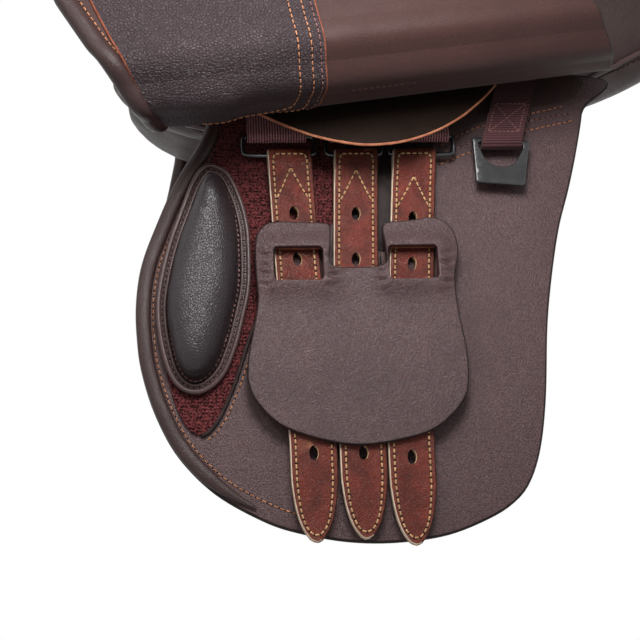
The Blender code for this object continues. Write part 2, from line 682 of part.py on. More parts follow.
def buckle_guard(prefix, side):
    """Guard plate with two windows; a strip behind each outer strap keeps it on."""
    high = GUARD_BACK_W + GUARD_THICK
    levels = [(0.0008, GUARD_BACK_W), (0.0, GUARD_BACK_W + 0.0008), (0.0, high - 0.0010), (0.0010, high)]
    obj = plate(prefix + "buckle_guard", side, GUARD_OUTLINE, levels, "dark_leather", place(side, -0.0578, 0.112, GUARD_BACK_W))
    windows = bmesh.new()
    for key in WINDOW_U:
        add_rings(windows, box_rings(side, WINDOW_U[key], WINDOW_V, (GUARD_BACK_W - 0.003, high + 0.003)))
    boolean(obj, cutter(prefix + "guard_windows", windows), "DIFFERENCE")
    for key in WINDOW_U:
        u0, u1 = WINDOW_U[key]
        top = GUARD_BACK_W + 0.001
        path = [(u0 - BAR_WALL, top), (u0 - BAR_WALL, BAR_W[0]), (u1 + BAR_WALL, BAR_W[0]), (u1 + BAR_WALL, top),
                (u1, top), (u1, BAR_W[1]), (u0, BAR_W[1]), (u0, top)]
        rings = []
        for v in BAR_V:
            rings.append([place(side, u, v, w) for u, w in path])
        boolean(obj, cutter(prefix + key + "_guard_strip", add_rings(bmesh.new(), rings)), "UNION")


def fold_piece(side, index, raised, rows):
    """Rings of a flap link; each row is (s at flesh side, s at grain side, t front, t rear)."""
    start, axis, run, grain = link_frame(side, index, raised)
    rings = []
    for s0, s1, t0, t1 in rows:
        rings.append([start + axis * t0 + run * s0, start + axis * t1 + run * s0,
                      start + axis * t1 + run * s1 + grain * FLAP_THICK, start + axis * t0 + run * s1 + grain * FLAP_THICK])
    return rings, start


def flap_link(prefix, side, index, raised):
    cut = FLAP_THICK * math.tan(LINK_TURN / 2) + LINK_GAP
    depth = LINK_LENGTH * (index - 1)
    ends = (LINK_GAP, LINK_LENGTH - LINK_GAP)
    front = [edge_at(FLAP_FRONT, depth + s) for s in ends]
    rear = [edge_at(FLAP_REAR, depth + s) for s in ends]
    rows = [(ends[0], ends[0] + cut, front[0], rear[0]), (ends[1], ends[1] - cut, front[1], rear[1])]
    rings, start = fold_piece(side, index, raised, rows)
    ringed(prefix + "flap_bend_" + str(index), rings, "dark_leather", start)


def flap(prefix, side, raised):
    start, axis, run, grain = link_frame(side, 4, raised)
    depth = LINK_LENGTH * 3
    begin = LINK_GAP
    cut = FLAP_THICK * math.tan(LINK_TURN / 2) + LINK_GAP
    outline = [fold_coords(u, v) for u, v in FLAP_FRONT + FLAP_FOOT + FLAP_REAR]
    body = [(t, s - depth) for t, s in smooth_line(outline, 2) if s - depth > 0.012]
    low = [(edge_at(FLAP_FRONT, depth + begin), begin)] + body + [(edge_at(FLAP_REAR, depth + begin), begin)]
    high = [(low[0][0], begin + cut)] + body + [(low[-1][0], begin + cut)]
    rim = 0.0008
    mid = [(low[0][0], begin + cut * 0.25)] + body + [(low[-1][0], begin + cut * 0.25)]
    foot = inset(low, rim)
    foot[0] = Vector((foot[0][0], begin))
    foot[-1] = Vector((foot[-1][0], begin))
    rings = []
    for points, level in ((foot, 0.0), (mid, rim), (high, FLAP_THICK - rim), (inset(high, rim), FLAP_THICK)):
        rings.append([start + axis * p[0] + run * p[1] + grain * level for p in points])
    ringed(prefix + "flap", rings, "dark_leather", start)


def seat_edge(x):
    """Half width and edge height of the seat at x."""
    rows = [tuple(row) for row in smooth_line(SEAT_STATIONS, 3)]
    for low, high in zip(rows, rows[1:]):
        if x <= high[0]:
            f = (x - low[0]) / (high[0] - low[0])
            return low[1] + (high[1] - low[1]) * f, low[3] + (high[3] - low[3]) * f
    return rows[-1][1], rows[-1][3]


def flap_top(prefix, side):
    """Fixed upper part of the flap, from the seat edge down to the first bend."""
    start, axis, run, grain = link_frame(side, 0, False)
    cut = FLAP_THICK * math.tan(LINK_TURN / 2) + LINK_GAP
    front = edge_at(FLAP_FRONT, 0.0)
    rear = edge_at(FLAP_REAR, 0.0)
    rings = []
    for n in range(11):
        f = n / 10
        t = front + (rear - front) * f
        x = TOP_X[0] + (TOP_X[1] - TOP_X[0]) * f
        half, edge = seat_edge(x)
        tuck = TOP_TUCK * min(max((x - 0.01) / 0.06, 0.0), 1.0)
        crest = Vector((x, side * (half + TOP_OUT - tuck), edge - cover_fall(x) - TOP_UNDER))
        share = min(max((f - 0.3) / 0.3, 0.0), 1.0)
        depths = [a + (b - a) * share for a, b in zip(TOP_FLAT, TOP_FLAT_REAR)]
        flat = [start + axis * t + run * s for s in [-LINK_GAP] + depths]
        flesh = flat[:2] + smooth_line(flat[1:] + [crest], 3)[3:]
        outer = [flesh[0] + run * -cut + grain * FLAP_THICK]
        for i in range(1, len(flesh)):
            back = flesh[i] - flesh[i - 1]
            normal = back.cross(axis).normalized()
            if normal.dot(grain) < 0:
                normal.negate()
            outer.append(flesh[i] + normal * FLAP_THICK)
        rings.append(flesh + list(reversed(outer)))
    ringed(prefix + "flap_top", rings, "dark_leather")


def web_guard(prefix, side, raised):
    """Crescent that hides the webs; it swings a third as far as the first bend."""
    start, axis, down, out = fold_frame(side)
    angle = TOP_ANGLE if raised else 0.0
    run = down * math.cos(angle) + out * math.sin(angle)
    grain = out * math.cos(angle) - down * math.sin(angle)
    outline = [tuple(p) for p in smooth_line(CRESCENT, 3)]
    rings = []
    for level in (-CRESCENT_GAP - CRESCENT_THICK, -CRESCENT_GAP):
        rings.append([start + axis * p[0] + run * p[1] + grain * level for p in outline])
    ringed(prefix + "web_guard", rings, "dark_leather", start)


def skirt(prefix, side):
    """Small flap over the stirrup bar, hung from the seat edge."""
    start, axis, run, grain = link_frame(side, 0, False)
    rings = []
    tops = []
    for t, s, e, x in four_line(SKIRT_STATIONS, 2):
        half, edge = seat_edge(x)
        crest = Vector((x, side * (half + SKIRT_OUT), edge - cover_fall(x) * 0.70))
        reach = (crest - start).dot(axis)
        foot = start + axis * t + run * s + grain * e
        knee = start + axis * (t + 0.25 * (reach - t)) + run * min(SKIRT_KNEE_S, s - 0.008) + grain * e
        swell = (knee + crest) / 2 + grain * SKIRT_BULGE
        inner = smooth_line([foot, knee, swell, crest], 2)
        outer = []
        for i in range(len(inner)):
            back = inner[min(i + 1, len(inner) - 1)] - inner[max(i - 1, 0)]
            normal = back.cross(axis).normalized()
            if normal.dot(grain) < 0:
                normal.negate()
            outer.append(inner[i] + normal * SKIRT_THICK)
        rings.append(inner + list(reversed(outer)))
        tops.append(crest)
    ringed(prefix + "skirt", rings, "dark_leather", tops[len(tops) // 2])


def bar_piece(side, profile, s_range):
    start, axis, run, grain = link_frame(side, 0, False)
    rings = []
    for s in s_range:
        rings.append([start + axis * t + run * s + grain * e for t, e in profile])
    return rings


def stirrup_bar(prefix, side):
    ringed(prefix + "stirrup_bar", bar_piece(side, BAR_PROFILE, BAR_S), "steel")


def bar_catch(prefix, side):
    start, axis, run, grain = link_frame(side, 0, False)
    pin = start + axis * CATCH_PIN[0] + run * sum(BAR_S) / 2 + grain * CATCH_PIN[1]
    ringed(prefix + "bar_catch", bar_piece(side, CATCH_PROFILE, (BAR_S[0] + 0.002, BAR_S[1] - 0.002)), "steel", pin)


def panel(prefix, side):
    """Long bearing cushion, lofted from front point to rear gusset."""
    rings = []
    for x, y0, y1, b0, b1, t0, t1 in smooth_line(PANEL_STATIONS, 3):
        section = [(0.10, 0.06), (0.30, 0.0), (0.55, 0.0), (0.78, 0.02), (0.93, 0.10), (1.0, 0.34),
                   (0.985, 0.62), (0.90, 0.90), (0.72, 1.0), (0.45, 1.02), (0.22, 1.0), (0.06, 0.88), (0.0, 0.60), (0.0, 0.28)]
        ring_points = []
        for f, h in section:
            bottom = b0 + (b1 - b0) * f
            top = t0 + (t1 - t0) * f
            ring_points.append(Vector((x, side * (y0 + (y1 - y0) * f), bottom + (top - bottom) * h)))
        rings.append(ring_points)
    ringed(prefix + "panel", rings, "dark_leather")


def seat_rows(first, last):
    """Seat stations with the fore-and-aft slope at each."""
    rows = [tuple(row) for row in smooth_line(SEAT_STATIONS, 3)]
    made = []
    for i, (x, half, zc, ze) in enumerate(rows):
        back = rows[max(i - 1, 0)]
        ahead = rows[min(i + 1, len(rows) - 1)]
        slope = (ahead[2] - back[2]) / (ahead[0] - back[0])
        if first <= x <= last:
            made.append((x, half, zc, ze, slope))
    return made


def cover_fall(x):
    """Depth of the cover's side, deeper round the cantle."""
    part = min(max((x - 0.035) / 0.110, 0.0), 1.0)
    return COVER_FALL + (COVER_FALL_REAR - COVER_FALL) * part * part * (3.0 - 2.0 * part)


def seat_height(zc, ze, f):
    return zc + (ze - zc) * abs(f) ** 2.4


def seat_steep(half, zc, ze, slope, f):
    """Factor from a thickness square to the surface to an upright one."""
    side = 2.4 * (ze - zc) * abs(f) ** 1.4 / half
    return math.sqrt(1.0 + side * side + slope * slope)


def cover_lining(half, zc, ze, slope):
    """Inner face of the cover as (y, z), from one side to the other."""
    made = []
    for f in SEAT_FRACTIONS:
        g = f * (half - COVER_THICK) / half
        drop = COVER_THICK * seat_steep(half, zc, ze, slope, g)
        made.append((g * half, seat_height(zc, ze, g) - drop))
    return made


def seat_cover():
    rings = []
    rows = seat_rows(-1.0, 1.0)
    for i, (x, half, zc, ze, slope) in enumerate(rows):
        foot = ze - cover_fall(x)
        outer = [(-half, foot)]
        outer += [(f * half, seat_height(zc, ze, f) - (0.002 if abs(f) == 1.0 else 0.0)) for f in SEAT_FRACTIONS]
        outer += [(half, foot)]
        lining = cover_lining(half, zc, ze, slope)
        inner = [(half - COVER_THICK, foot)] + list(reversed(lining)) + [(COVER_THICK - half, foot)]
        if i in (0, len(rows) - 1):
            spread = half - COVER_THICK - 0.0005
            inner = [(half - COVER_THICK, foot)] + [(spread * f, foot) for f in reversed(SEAT_FRACTIONS)] + [(COVER_THICK - half, foot)]
        rings.append([Vector((x, y, z)) for y, z in outer + inner])
    ringed("seat_cover", rings, "dark_leather")


def along(points, y):
    """Height at y of a row of (y, z) points in rising y."""
    for (y0, z0), (y1, z1) in zip(points, points[1:]):
        if y <= y1:
            return z0 + (z1 - z0) * (y - y0) / (y1 - y0)
    return points[-1][1]


def foam_faces(half, zc, ze, slope):
    """Upper and lower face of the foam as (y, z) rows."""
    reach = half - COVER_THICK - FOAM_SIDE
    lining = cover_lining(half, zc, ze, slope)
    top = []
    low = []
    for f in FOAM_FRACTIONS:
        y = f * reach
        steep = seat_steep(half, zc, ze, slope, y / half)
        z = along(lining, y) - FOAM_GAP * steep
        deep = FOAM_DEEP + (FOAM_EDGE - FOAM_DEEP) * f * f
        top.append((y, z - (0.001 if abs(f) > 0.9 else 0.0)))
        low.append((y * 0.97, z - deep))
    return top, low


def seat_foam():
    rings = []
    for x, half, zc, ze, slope in seat_rows(*FOAM_X):
        top, low = foam_faces(half, zc, ze, slope)
        rings.append([Vector((x, y, z)) for y, z in top + list(reversed(low))])
    ringed("seat_foam", rings, "foam")


def seat_webbing():
    """Strained strip under the foam, from the head to the cantle."""
    rings = []
    for x, half, zc, ze, slope in seat_rows(*WEBBING_X):
        low = foam_faces(half, zc, ze, slope)[1]
        steep = math.sqrt(1.0 + slope * slope)
        top = [(y, z - WEBBING_UNDER * steep) for y, z in low[3:6]]
        under = [(y, z - WEBBING_THICK * steep) for y, z in reversed(top)]
        rings.append([Vector((x, y, z)) for y, z in top + under])
    ringed("seat_webbing", rings, "web")


def tree_frames():
    """Points of the whole tree loop with the directions of its flat section."""
    half = tree_path()
    path = half + [Vector((p.x, -p.y, p.z)) for p in reversed(half[1:-1])]
    count = len(path)
    frames = []
    for i in range(count):
        run = (path[(i + 1) % count] - path[i - 1]).normalized()
        out = Vector((path[i].x + 0.01, path[i].y, 0.0))
        up = Vector((-0.55, 0.0, 0.83)) if path[i].x < -0.14 else Vector((0.0, 0.0, 1.0))
        if path[i].x > 0.17:
            up = Vector((-0.50, 0.0, 0.87))
        across = run.cross(up).normalized()
        if across.dot(out) < 0:
            across.negate()
        rise = across.cross(run).normalized()
        if rise.z < 0:
            rise.negate()
        frames.append((path[i], across, rise))
    return frames


def tree():
    """Head, side rails and cantle as one closed loop of flat section."""
    rings = []
    for point, across, rise in tree_frames():
        a = across * TREE_WIDE / 2
        b = rise * TREE_DEEP / 2
        c = across * 0.002
        rings.append([point + a + b - c, point + a - b, point - a - b, point - a + b + c])
    ringed("tree", rings, "wood", closed=True)


def gullet_plate():
    """Steel arch seated under the tree's head, with a leg down each point."""
    frames = tree_frames()
    drop = TREE_DEEP / 2 + GULLET_SEAT + GULLET_THICK / 2
    half = []
    for point, across, rise in frames[:5]:
        half.append((point - rise * drop, across, rise))
    tilt = half[-1][1]
    legs = [Vector((GULLET_LEG_X, y, z)) for y, z in GULLET_LEG]
    for i, point in enumerate(legs):
        run = (legs[min(i + 1, len(legs) - 1)] - legs[max(i - 1, 0)]).normalized()
        across = tilt.lerp(Vector((-1.0, 0.0, 0.0)), min((i + 1) / 3, 1.0)).normalized()
        half.append((point, across, across.cross(run).normalized()))
    mirror = Vector((1.0, -1.0, 1.0))
    path = [(p * mirror, a * mirror, r * mirror) for p, a, r in reversed(half[1:])] + half
    rings = []
    for point, across, rise in path:
        if rise.z < 0:
            rise = -rise
        a = across * GULLET_WIDE / 2
        b = rise * GULLET_THICK / 2
        rings.append([point + a + b, point + a - b, point - a - b, point - a + b])
    ringed("gullet_plate", rings, "steel")


def build_side(prefix, side, raised):
    sweat_flap(prefix, side)
    sweat_roll(prefix, side)
    loop_pad(prefix, side)
    knee_block(prefix, side)
    panel(prefix, side)
    for key in ("front", "middle", "rear"):
        web(prefix, side, key)
        ring(prefix, side, key)
        billet(prefix, side, key)
    spare_web(prefix, side)
    spare_ring(prefix, side)
    buckle_guard(prefix, side)
    web_guard(prefix, side, raised)
    flap_top(prefix, side)
    for index in (1, 2, 3):
        flap_link(prefix, side, index, raised)
    flap(prefix, side, raised)
    skirt(prefix, side)
    stirrup_bar(prefix, side)
    bar_catch(prefix, side)


def build():
    clear_scene()
    collection(COLLECTION)
    collection(CUTTERS)
    tree()
    gullet_plate()
    seat_webbing()
    seat_foam()
    seat_cover()
    build_side("near_", -1, True)
    build_side("off_", 1, False)


build()
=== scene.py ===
# %% [markdown]
# # An all-purpose saddle, near flap turned up
# This lesson dresses a plain solid model of a riding saddle. The solids come from
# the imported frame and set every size. Each one is replaced here by leather, webbing
# or metal with real edges and real stitches. Lengths are metres, +Z is up, -X is the
# front of the saddle and -Y its near side.

# %% Load the frame
import json
import math
from functools import partial

import bmesh
import bpy
import numpy as np
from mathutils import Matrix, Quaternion, Vector, geometry
from mathutils.bvhtree import BVHTree

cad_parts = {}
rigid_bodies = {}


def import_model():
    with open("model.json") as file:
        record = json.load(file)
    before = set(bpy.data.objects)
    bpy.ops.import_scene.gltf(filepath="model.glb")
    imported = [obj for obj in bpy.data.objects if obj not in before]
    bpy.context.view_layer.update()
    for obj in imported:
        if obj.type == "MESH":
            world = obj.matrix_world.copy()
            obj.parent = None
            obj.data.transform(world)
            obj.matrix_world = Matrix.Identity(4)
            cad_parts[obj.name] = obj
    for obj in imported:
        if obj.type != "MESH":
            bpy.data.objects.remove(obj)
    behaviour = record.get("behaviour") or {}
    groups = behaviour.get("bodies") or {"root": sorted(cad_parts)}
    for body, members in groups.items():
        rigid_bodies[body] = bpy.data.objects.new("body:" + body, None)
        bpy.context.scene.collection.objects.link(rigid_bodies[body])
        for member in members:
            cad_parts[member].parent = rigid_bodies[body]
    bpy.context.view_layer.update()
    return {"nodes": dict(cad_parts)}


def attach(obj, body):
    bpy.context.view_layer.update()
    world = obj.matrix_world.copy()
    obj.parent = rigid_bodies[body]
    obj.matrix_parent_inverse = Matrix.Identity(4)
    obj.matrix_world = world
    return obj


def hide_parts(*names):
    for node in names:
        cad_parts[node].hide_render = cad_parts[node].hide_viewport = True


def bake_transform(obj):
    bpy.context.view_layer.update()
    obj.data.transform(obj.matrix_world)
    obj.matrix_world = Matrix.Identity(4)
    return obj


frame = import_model()
NODES = frame["nodes"]
BODY = {name: node.parent.name.split(":", 1)[1] for name, node in NODES.items()}
SIDES = {"near_": -1, "off_": 1}

# %% [markdown]
# ## The leaning frame of the side
# A sweat flap hangs at a lean, and everything on it was cut flat. So the pieces are
# drawn flat, as a saddler's pattern would be: u runs to the rear, v down the flap and
# w outward from its inner face. One function lays a flat point on the saddle.

# %% Places on the leaning side
LEAN = math.radians(20.0)
SIDE_Y = 0.150
SIDE_Z = 0.010


def place(side, u, v, w):
    y = SIDE_Y + v * math.sin(LEAN) + w * math.cos(LEAN)
    z = SIDE_Z - v * math.cos(LEAN) + w * math.sin(LEAN)
    return Vector((u, side * y, z))


def mm(rows):
    """Pattern points are easier to read in millimetres."""
    return [Vector(row) / 1000.0 for row in rows]


print("top of the near flap:", tuple(round(x, 3) for x in place(-1, 0, 0, 0)))

# %% [markdown]
# ## Curves of a pattern
# A knife cuts smooth curves between a few known points. A Catmull-Rom curve passes
# through its points, so measured points stay where they were measured. The curve is
# then cut into even steps, which keeps the mesh even.


# %% Curve helpers
def curve_point(a, b, c, d, f):
    part = (c - a) * f + (2 * a - 5 * b + 4 * c - d) * f * f
    return 0.5 * (2 * b + part + (3 * b - a - 3 * c + d) * f ** 3)


def smooth(points, closed=False, steps=6):
    points = [Vector(p) for p in points]
    count = len(points)
    made = []
    for i in range(count if closed else count - 1):
        if closed:
            a, b, c, d = (points[(i + k) % count] for k in (-1, 0, 1, 2))
        else:
            a, b, c, d = (points[min(max(i + k, 0), count - 1)] for k in (-1, 0, 1, 2))
        made += [curve_point(a, b, c, d, n / steps) for n in range(steps)]
    return made if closed else made + [points[-1]]


def even(points, step, closed=False):
    """Cuts a polyline into equal steps of about the length asked for."""
    points = [Vector(p) for p in points]
    if closed:
        points = points + [points[0]]
    reach = [0.0]
    for a, b in zip(points, points[1:]):
        reach.append(reach[-1] + (b - a).length)
    count = max(2, round(reach[-1] / step))
    made = []
    i = 0
    for n in range(count + (0 if closed else 1)):
        want = reach[-1] * n / count
        while i < len(points) - 2 and reach[i + 1] < want:
            i += 1
        span = reach[i + 1] - reach[i] or 1.0
        made.append(points[i].lerp(points[i + 1], (want - reach[i]) / span))
    return made


print("a curve through three points:", len(smooth([(0, 0), (1, 1), (2, 0)])), "points")


# %% Flat outline helpers
SHARPEST_TURN = 0.6


def inset(points, distance):
    """Moves a closed flat outline inward, or outward where distance is negative."""
    count = len(points)
    area = sum(
        points[i][0] * points[(i + 1) % count][1] - points[(i + 1) % count][0] * points[i][1]
        for i in range(count))
    turn = 1.0 if area > 0 else -1.0
    made = []
    for i in range(count):
        back = Vector(points[i][:2]) - Vector(points[i - 1][:2])
        ahead = Vector(points[(i + 1) % count][:2]) - Vector(points[i][:2])
        n1 = Vector((-back[1], back[0])).normalized() * turn
        n2 = Vector((-ahead[1], ahead[0])).normalized() * turn
        mid = (n1 + n2).normalized()
        made.append(Vector(points[i][:2]) + mid * distance / max(mid.dot(n1), SHARPEST_TURN))
    return made


def inside(loop, points):
    """Which flat points lie inside a closed loop."""
    x = np.array([p[0] for p in points])
    y = np.array([p[1] for p in points])
    hit = np.zeros(len(points), bool)
    for a, b in zip(loop, list(loop[1:]) + [loop[0]]):
        cross = (a[1] > y) != (b[1] > y)
        if a[1] != b[1]:
            hit ^= cross & (x < (b[0] - a[0]) * (y - a[1]) / (b[1] - a[1]) + a[0])
    return hit


SQUARE = [(0.0, 0.0), (1.0, 0.0), (1.0, 1.0), (0.0, 1.0)]
print("first corner of a square, moved in by a tenth:", [round(x, 2) for x in inset(SQUARE, 0.1)[0]])


# %% Soft rises
def share_of(value, low, high):
    """How far a value has come from low to high, held between 0 and 1."""
    return min(max((value - low) / (high - low), 0.0), 1.0)


def eased(f):
    """Starts and ends softly, so that a rise has no kink at its ends."""
    return f * f * (3.0 - 2.0 * f)


print("half way up a soft rise:", eased(share_of(0.5, 0.0, 1.0)))

# %% [markdown]
# ## Shared looks: grain, wear, weave and raw edges
# Every leather here shows a pebbled grain, handling wear and uneven colour. Each effect
# is a node group with named inputs, so one recipe serves many leathers with other
# values. Groups give masks and heights only, and each material keeps its own shader.


# %% Node group helpers
def new_group(name, inputs, outputs):
    group = bpy.data.node_groups.new(name, "ShaderNodeTree")
    for label, value in inputs.items():
        made = group.interface.new_socket(label, in_out="INPUT", socket_type="NodeSocketFloat")
        made.default_value = value
    for label in outputs:
        group.interface.new_socket(label, in_out="OUTPUT", socket_type="NodeSocketFloat")
    return group, group.nodes.new("NodeGroupInput"), group.nodes.new("NodeGroupOutput")


def node(tree, kind, links=None, **values):
    """Adds a node, sets its properties and wires the inputs given by name."""
    made = tree.nodes.new(kind)
    for key, value in values.items():
        setattr(made, key, value)
    for key, value in (links or {}).items():
        socket = made.inputs[key]
        if isinstance(value, bpy.types.NodeSocket):
            tree.links.new(value, socket)
        else:
            socket.default_value = value
    return made


def maths(tree, operation, a, b=0.5, clamp=False):
    made = node(tree, "ShaderNodeMath", {0: a, 1: b}, operation=operation, use_clamp=clamp)
    return made.outputs[0]


def ramp(tree, value, low, high):
    """Stretches low..high of a value to 0..1."""
    made = node(tree, "ShaderNodeMapRange", {"Value": value, "From Min": low, "From Max": high})
    made.clamp = True
    return made.outputs[0]


def noise(tree, spot, scale, detail, rough=0.5):
    """Soft random spots; a larger scale gives smaller spots."""
    values = {"Vector": spot, "Scale": scale, "Detail": detail, "Roughness": rough}
    return node(tree, "ShaderNodeTexNoise", values).outputs


def give_out(group, out, **values):
    """Wires each result to the group output of that name."""
    for label, value in values.items():
        group.links.new(value, out.inputs[label.replace("_", " ")])


print("node helpers ready")


# %% Pebbled grain group
def grain_group():
    group, given, out = new_group(
        "pebbled_grain", {"Pebble Size": 0.0012, "Crease": 0.5}, ["Height", "Crease Mask", "Pores"])
    spot = node(group, "ShaderNodeTexCoord").outputs["Object"]
    scale = maths(group, "DIVIDE", 1.0, given.outputs["Pebble Size"])
    warp = noise(group, spot, scale=260.0, detail=2.0)["Color"]
    shift = node(group, "ShaderNodeVectorMath", {0: warp, "Scale": 0.0009}, operation="SCALE")
    moved = node(group, "ShaderNodeVectorMath", {0: spot, 1: shift.outputs[0]}, operation="ADD")
    cells = node(group, "ShaderNodeTexVoronoi", {"Vector": moved.outputs[0], "Scale": scale},
                 feature="DISTANCE_TO_EDGE")
    pebble = ramp(group, cells.outputs["Distance"], 0.0, 0.22)
    fine = noise(group, spot, scale=2400.0, detail=2.0)["Fac"]
    broad = noise(group, spot, scale=120.0, detail=3.0)["Fac"]
    speck = noise(group, spot, scale=950.0, detail=1.5, rough=0.6)["Fac"]
    pores = ramp(group, speck, 0.56, 0.40)
    height = maths(group, "MULTIPLY", pebble, given.outputs["Crease"])
    height = maths(group, "ADD", height, maths(group, "MULTIPLY", fine, 0.25))
    height = maths(group, "ADD", height, maths(group, "MULTIPLY", broad, 0.6))
    height = maths(group, "SUBTRACT", height, maths(group, "MULTIPLY", pores, 0.45))
    gaps = maths(group, "SUBTRACT", 1.0, pebble)
    crease = maths(group, "MULTIPLY", gaps, given.outputs["Crease"], clamp=True)
    give_out(group, out, Height=height, Crease_Mask=crease, Pores=pores)
    return group


GRAIN = grain_group()
print("grain group:", len(GRAIN.nodes), "nodes")


# %% Handling wear group
def wear_group():
    group, given, out = new_group(
        "handling_wear", {"Amount": 0.5, "Patch Size": 0.03}, ["Rub", "Blotch"])
    spot = node(group, "ShaderNodeTexCoord").outputs["Object"]
    scale = maths(group, "DIVIDE", 1.0, given.outputs["Patch Size"])
    blotch = ramp(group, noise(group, spot, scale, detail=4.0, rough=0.6)["Fac"], 0.34, 0.68)
    bent = node(group, "ShaderNodeNewGeometry").outputs["Pointiness"]
    fine = noise(group, spot, scale=420.0, detail=3.0)["Fac"]
    edge = maths(group, "ADD", bent, maths(group, "MULTIPLY", fine, 0.06))
    edge = ramp(group, edge, 0.545, 0.66)
    rub = maths(group, "MULTIPLY", edge, given.outputs["Amount"], clamp=True)
    give_out(group, out, Rub=rub, Blotch=blotch)
    return group


WEAR = wear_group()
print("wear group:", len(WEAR.nodes), "nodes")


# %% Fibre group for raw edges, foam and thread
def fibre_group():
    group, given, out = new_group(
        "cut_fibre", {"Fibre Size": 0.0005, "Stretch": 3.0}, ["Height", "Streak"])
    spot = node(group, "ShaderNodeTexCoord").outputs["Object"]
    scale = maths(group, "DIVIDE", 1.0, given.outputs["Fibre Size"])
    stretch = given.outputs["Stretch"]
    wide = node(group, "ShaderNodeCombineXYZ", {0: 1.0, 1: stretch, 2: stretch}).outputs[0]
    spread = node(group, "ShaderNodeVectorMath", {0: spot, 1: wide}, operation="MULTIPLY").outputs[0]
    hair = noise(group, spread, scale, detail=3.0, rough=0.7)["Fac"]
    broad = noise(group, spread, maths(group, "MULTIPLY", scale, 0.12), detail=3.0)["Fac"]
    give_out(group, out, Height=hair, Streak=ramp(group, broad, 0.35, 0.66))
    return group


FIBRE = fibre_group()
print("fibre group:", len(FIBRE.nodes), "nodes")


# %% Weave group for webbing
def weave_group():
    group, given, out = new_group(
        "webbing_weave", {"Rib Pitch": 0.0012, "Side": 1.0, "Along": 0.0}, ["Height", "Gap"])
    spot = node(group, "ShaderNodeTexCoord").outputs["Object"]
    split = node(group, "ShaderNodeSeparateXYZ", {0: spot})
    slope = maths(group, "MULTIPLY", given.outputs["Side"], math.tan(LEAN))
    lean = maths(group, "MULTIPLY", split.outputs["Y"], slope)
    down = maths(group, "SUBTRACT", split.outputs["Z"], lean)
    turn = maths(group, "DIVIDE", 2 * math.pi, given.outputs["Rib Pitch"])
    weft = maths(group, "SINE", maths(group, "MULTIPLY", down, turn))
    warp = maths(group, "SINE", maths(group, "MULTIPLY", split.outputs["X"], turn))
    ribs_along = maths(group, "MULTIPLY", given.outputs["Along"], 0.35)
    ribs_across = maths(group, "SUBTRACT", 0.35, ribs_along)
    across = maths(group, "MULTIPLY", weft, ribs_across)
    along = maths(group, "MULTIPLY", warp, ribs_along)
    both = maths(group, "MULTIPLY", maths(group, "MULTIPLY", weft, warp), 0.16)
    height = maths(group, "ADD", maths(group, "ADD", across, along), both)
    fuzz = maths(group, "SUBTRACT", noise(group, spot, scale=2600.0, detail=2.0)["Fac"], 0.5)
    height = maths(group, "ADD", height, maths(group, "MULTIPLY", fuzz, 0.9))
    give_out(group, out, Height=height, Gap=ramp(group, height, 0.2, -0.35))
    return group


WEAVE = weave_group()
print("weave group:", len(WEAVE.nodes), "nodes")

# %% [markdown]
# ## Leathers
# The grained leather of flaps and panels is dark brown with a soft satin shine. Girth
# straps are oiled harness leather, redder and lighter, and flesh sides are matte. One
# function builds them all from the grain and wear groups, with other colours and depths.


# %% Material helpers
def shader_of(name):
    mat = bpy.data.materials.new(name)
    mat.use_nodes = True
    return mat, mat.node_tree, mat.node_tree.nodes["Principled BSDF"]


def mix(tree, mask, low, high):
    made = node(tree, "ShaderNodeMix", {0: mask}, data_type="RGBA")
    for key, value in (("A", low), ("B", high)):
        socket = [s for s in made.inputs if s.name == key and s.type == "RGBA"][0]
        if isinstance(value, bpy.types.NodeSocket):
            tree.links.new(value, socket)
        else:
            socket.default_value = (*value, 1.0)
    return [s for s in made.outputs if s.type == "RGBA"][0]


def placed(tree, group, **values):
    made = tree.nodes.new("ShaderNodeGroup")
    made.node_tree = group
    for key, value in values.items():
        made.inputs[key.replace("_", " ")].default_value = value
    return made


def raise_bump(tree, shade, height, depth, strength=1.0):
    bump = node(tree, "ShaderNodeBump", {"Height": height, "Distance": depth, "Strength": strength})
    tree.links.new(bump.outputs[0], shade.inputs["Normal"])


def surface(shade, rough, shine, sheen=0.0):
    """How rough a surface is, how much it mirrors and how downy it looks."""
    shade.inputs["Roughness"].default_value = rough
    shade.inputs["Specular IOR Level"].default_value = shine
    shade.inputs["Sheen Weight"].default_value = sheen


def scaled(colour, factor, lift=0.0):
    return tuple(c * factor + lift for c in colour)


print("a tone made half as bright:", scaled((0.4, 0.2, 0.1), 0.5))


# %% Leather maker
def leather(name, colour, worn, pebble=0.0012, crease=0.5, depth=0.00012, rough=(0.38, 0.6),
            wear=0.4, patch=0.03, sheen=0.0, pores=0.45, swing=0.25, shine=0.25):
    """Grained leather: colour in the grain, worn where it is rubbed."""
    mat, tree, shade = shader_of(name)
    grain = placed(tree, GRAIN, Pebble_Size=pebble, Crease=crease)
    used = placed(tree, WEAR, Amount=wear, Patch_Size=patch)
    deep = scaled(colour, 0.5)
    soft = scaled(colour, 1 + swing, 0.002)
    tone = mix(tree, used.outputs["Blotch"], scaled(colour, 1 - swing * 0.5), soft)
    tone = mix(tree, maths(tree, "MULTIPLY", grain.outputs["Crease Mask"], 0.75), tone, deep)
    tone = mix(tree, maths(tree, "MULTIPLY", grain.outputs["Pores"], pores), tone, deep)
    tone = mix(tree, used.outputs["Rub"], tone, worn)
    tree.links.new(tone, shade.inputs["Base Color"])
    surface(shade, rough[1], shine, sheen)
    gloss = node(tree, "ShaderNodeMapRange", {
        "Value": used.outputs["Blotch"], "To Min": rough[1], "To Max": rough[0]})
    tree.links.new(gloss.outputs[0], shade.inputs["Roughness"])
    raise_bump(tree, shade, grain.outputs["Height"], depth)
    return mat


print("leather maker ready")

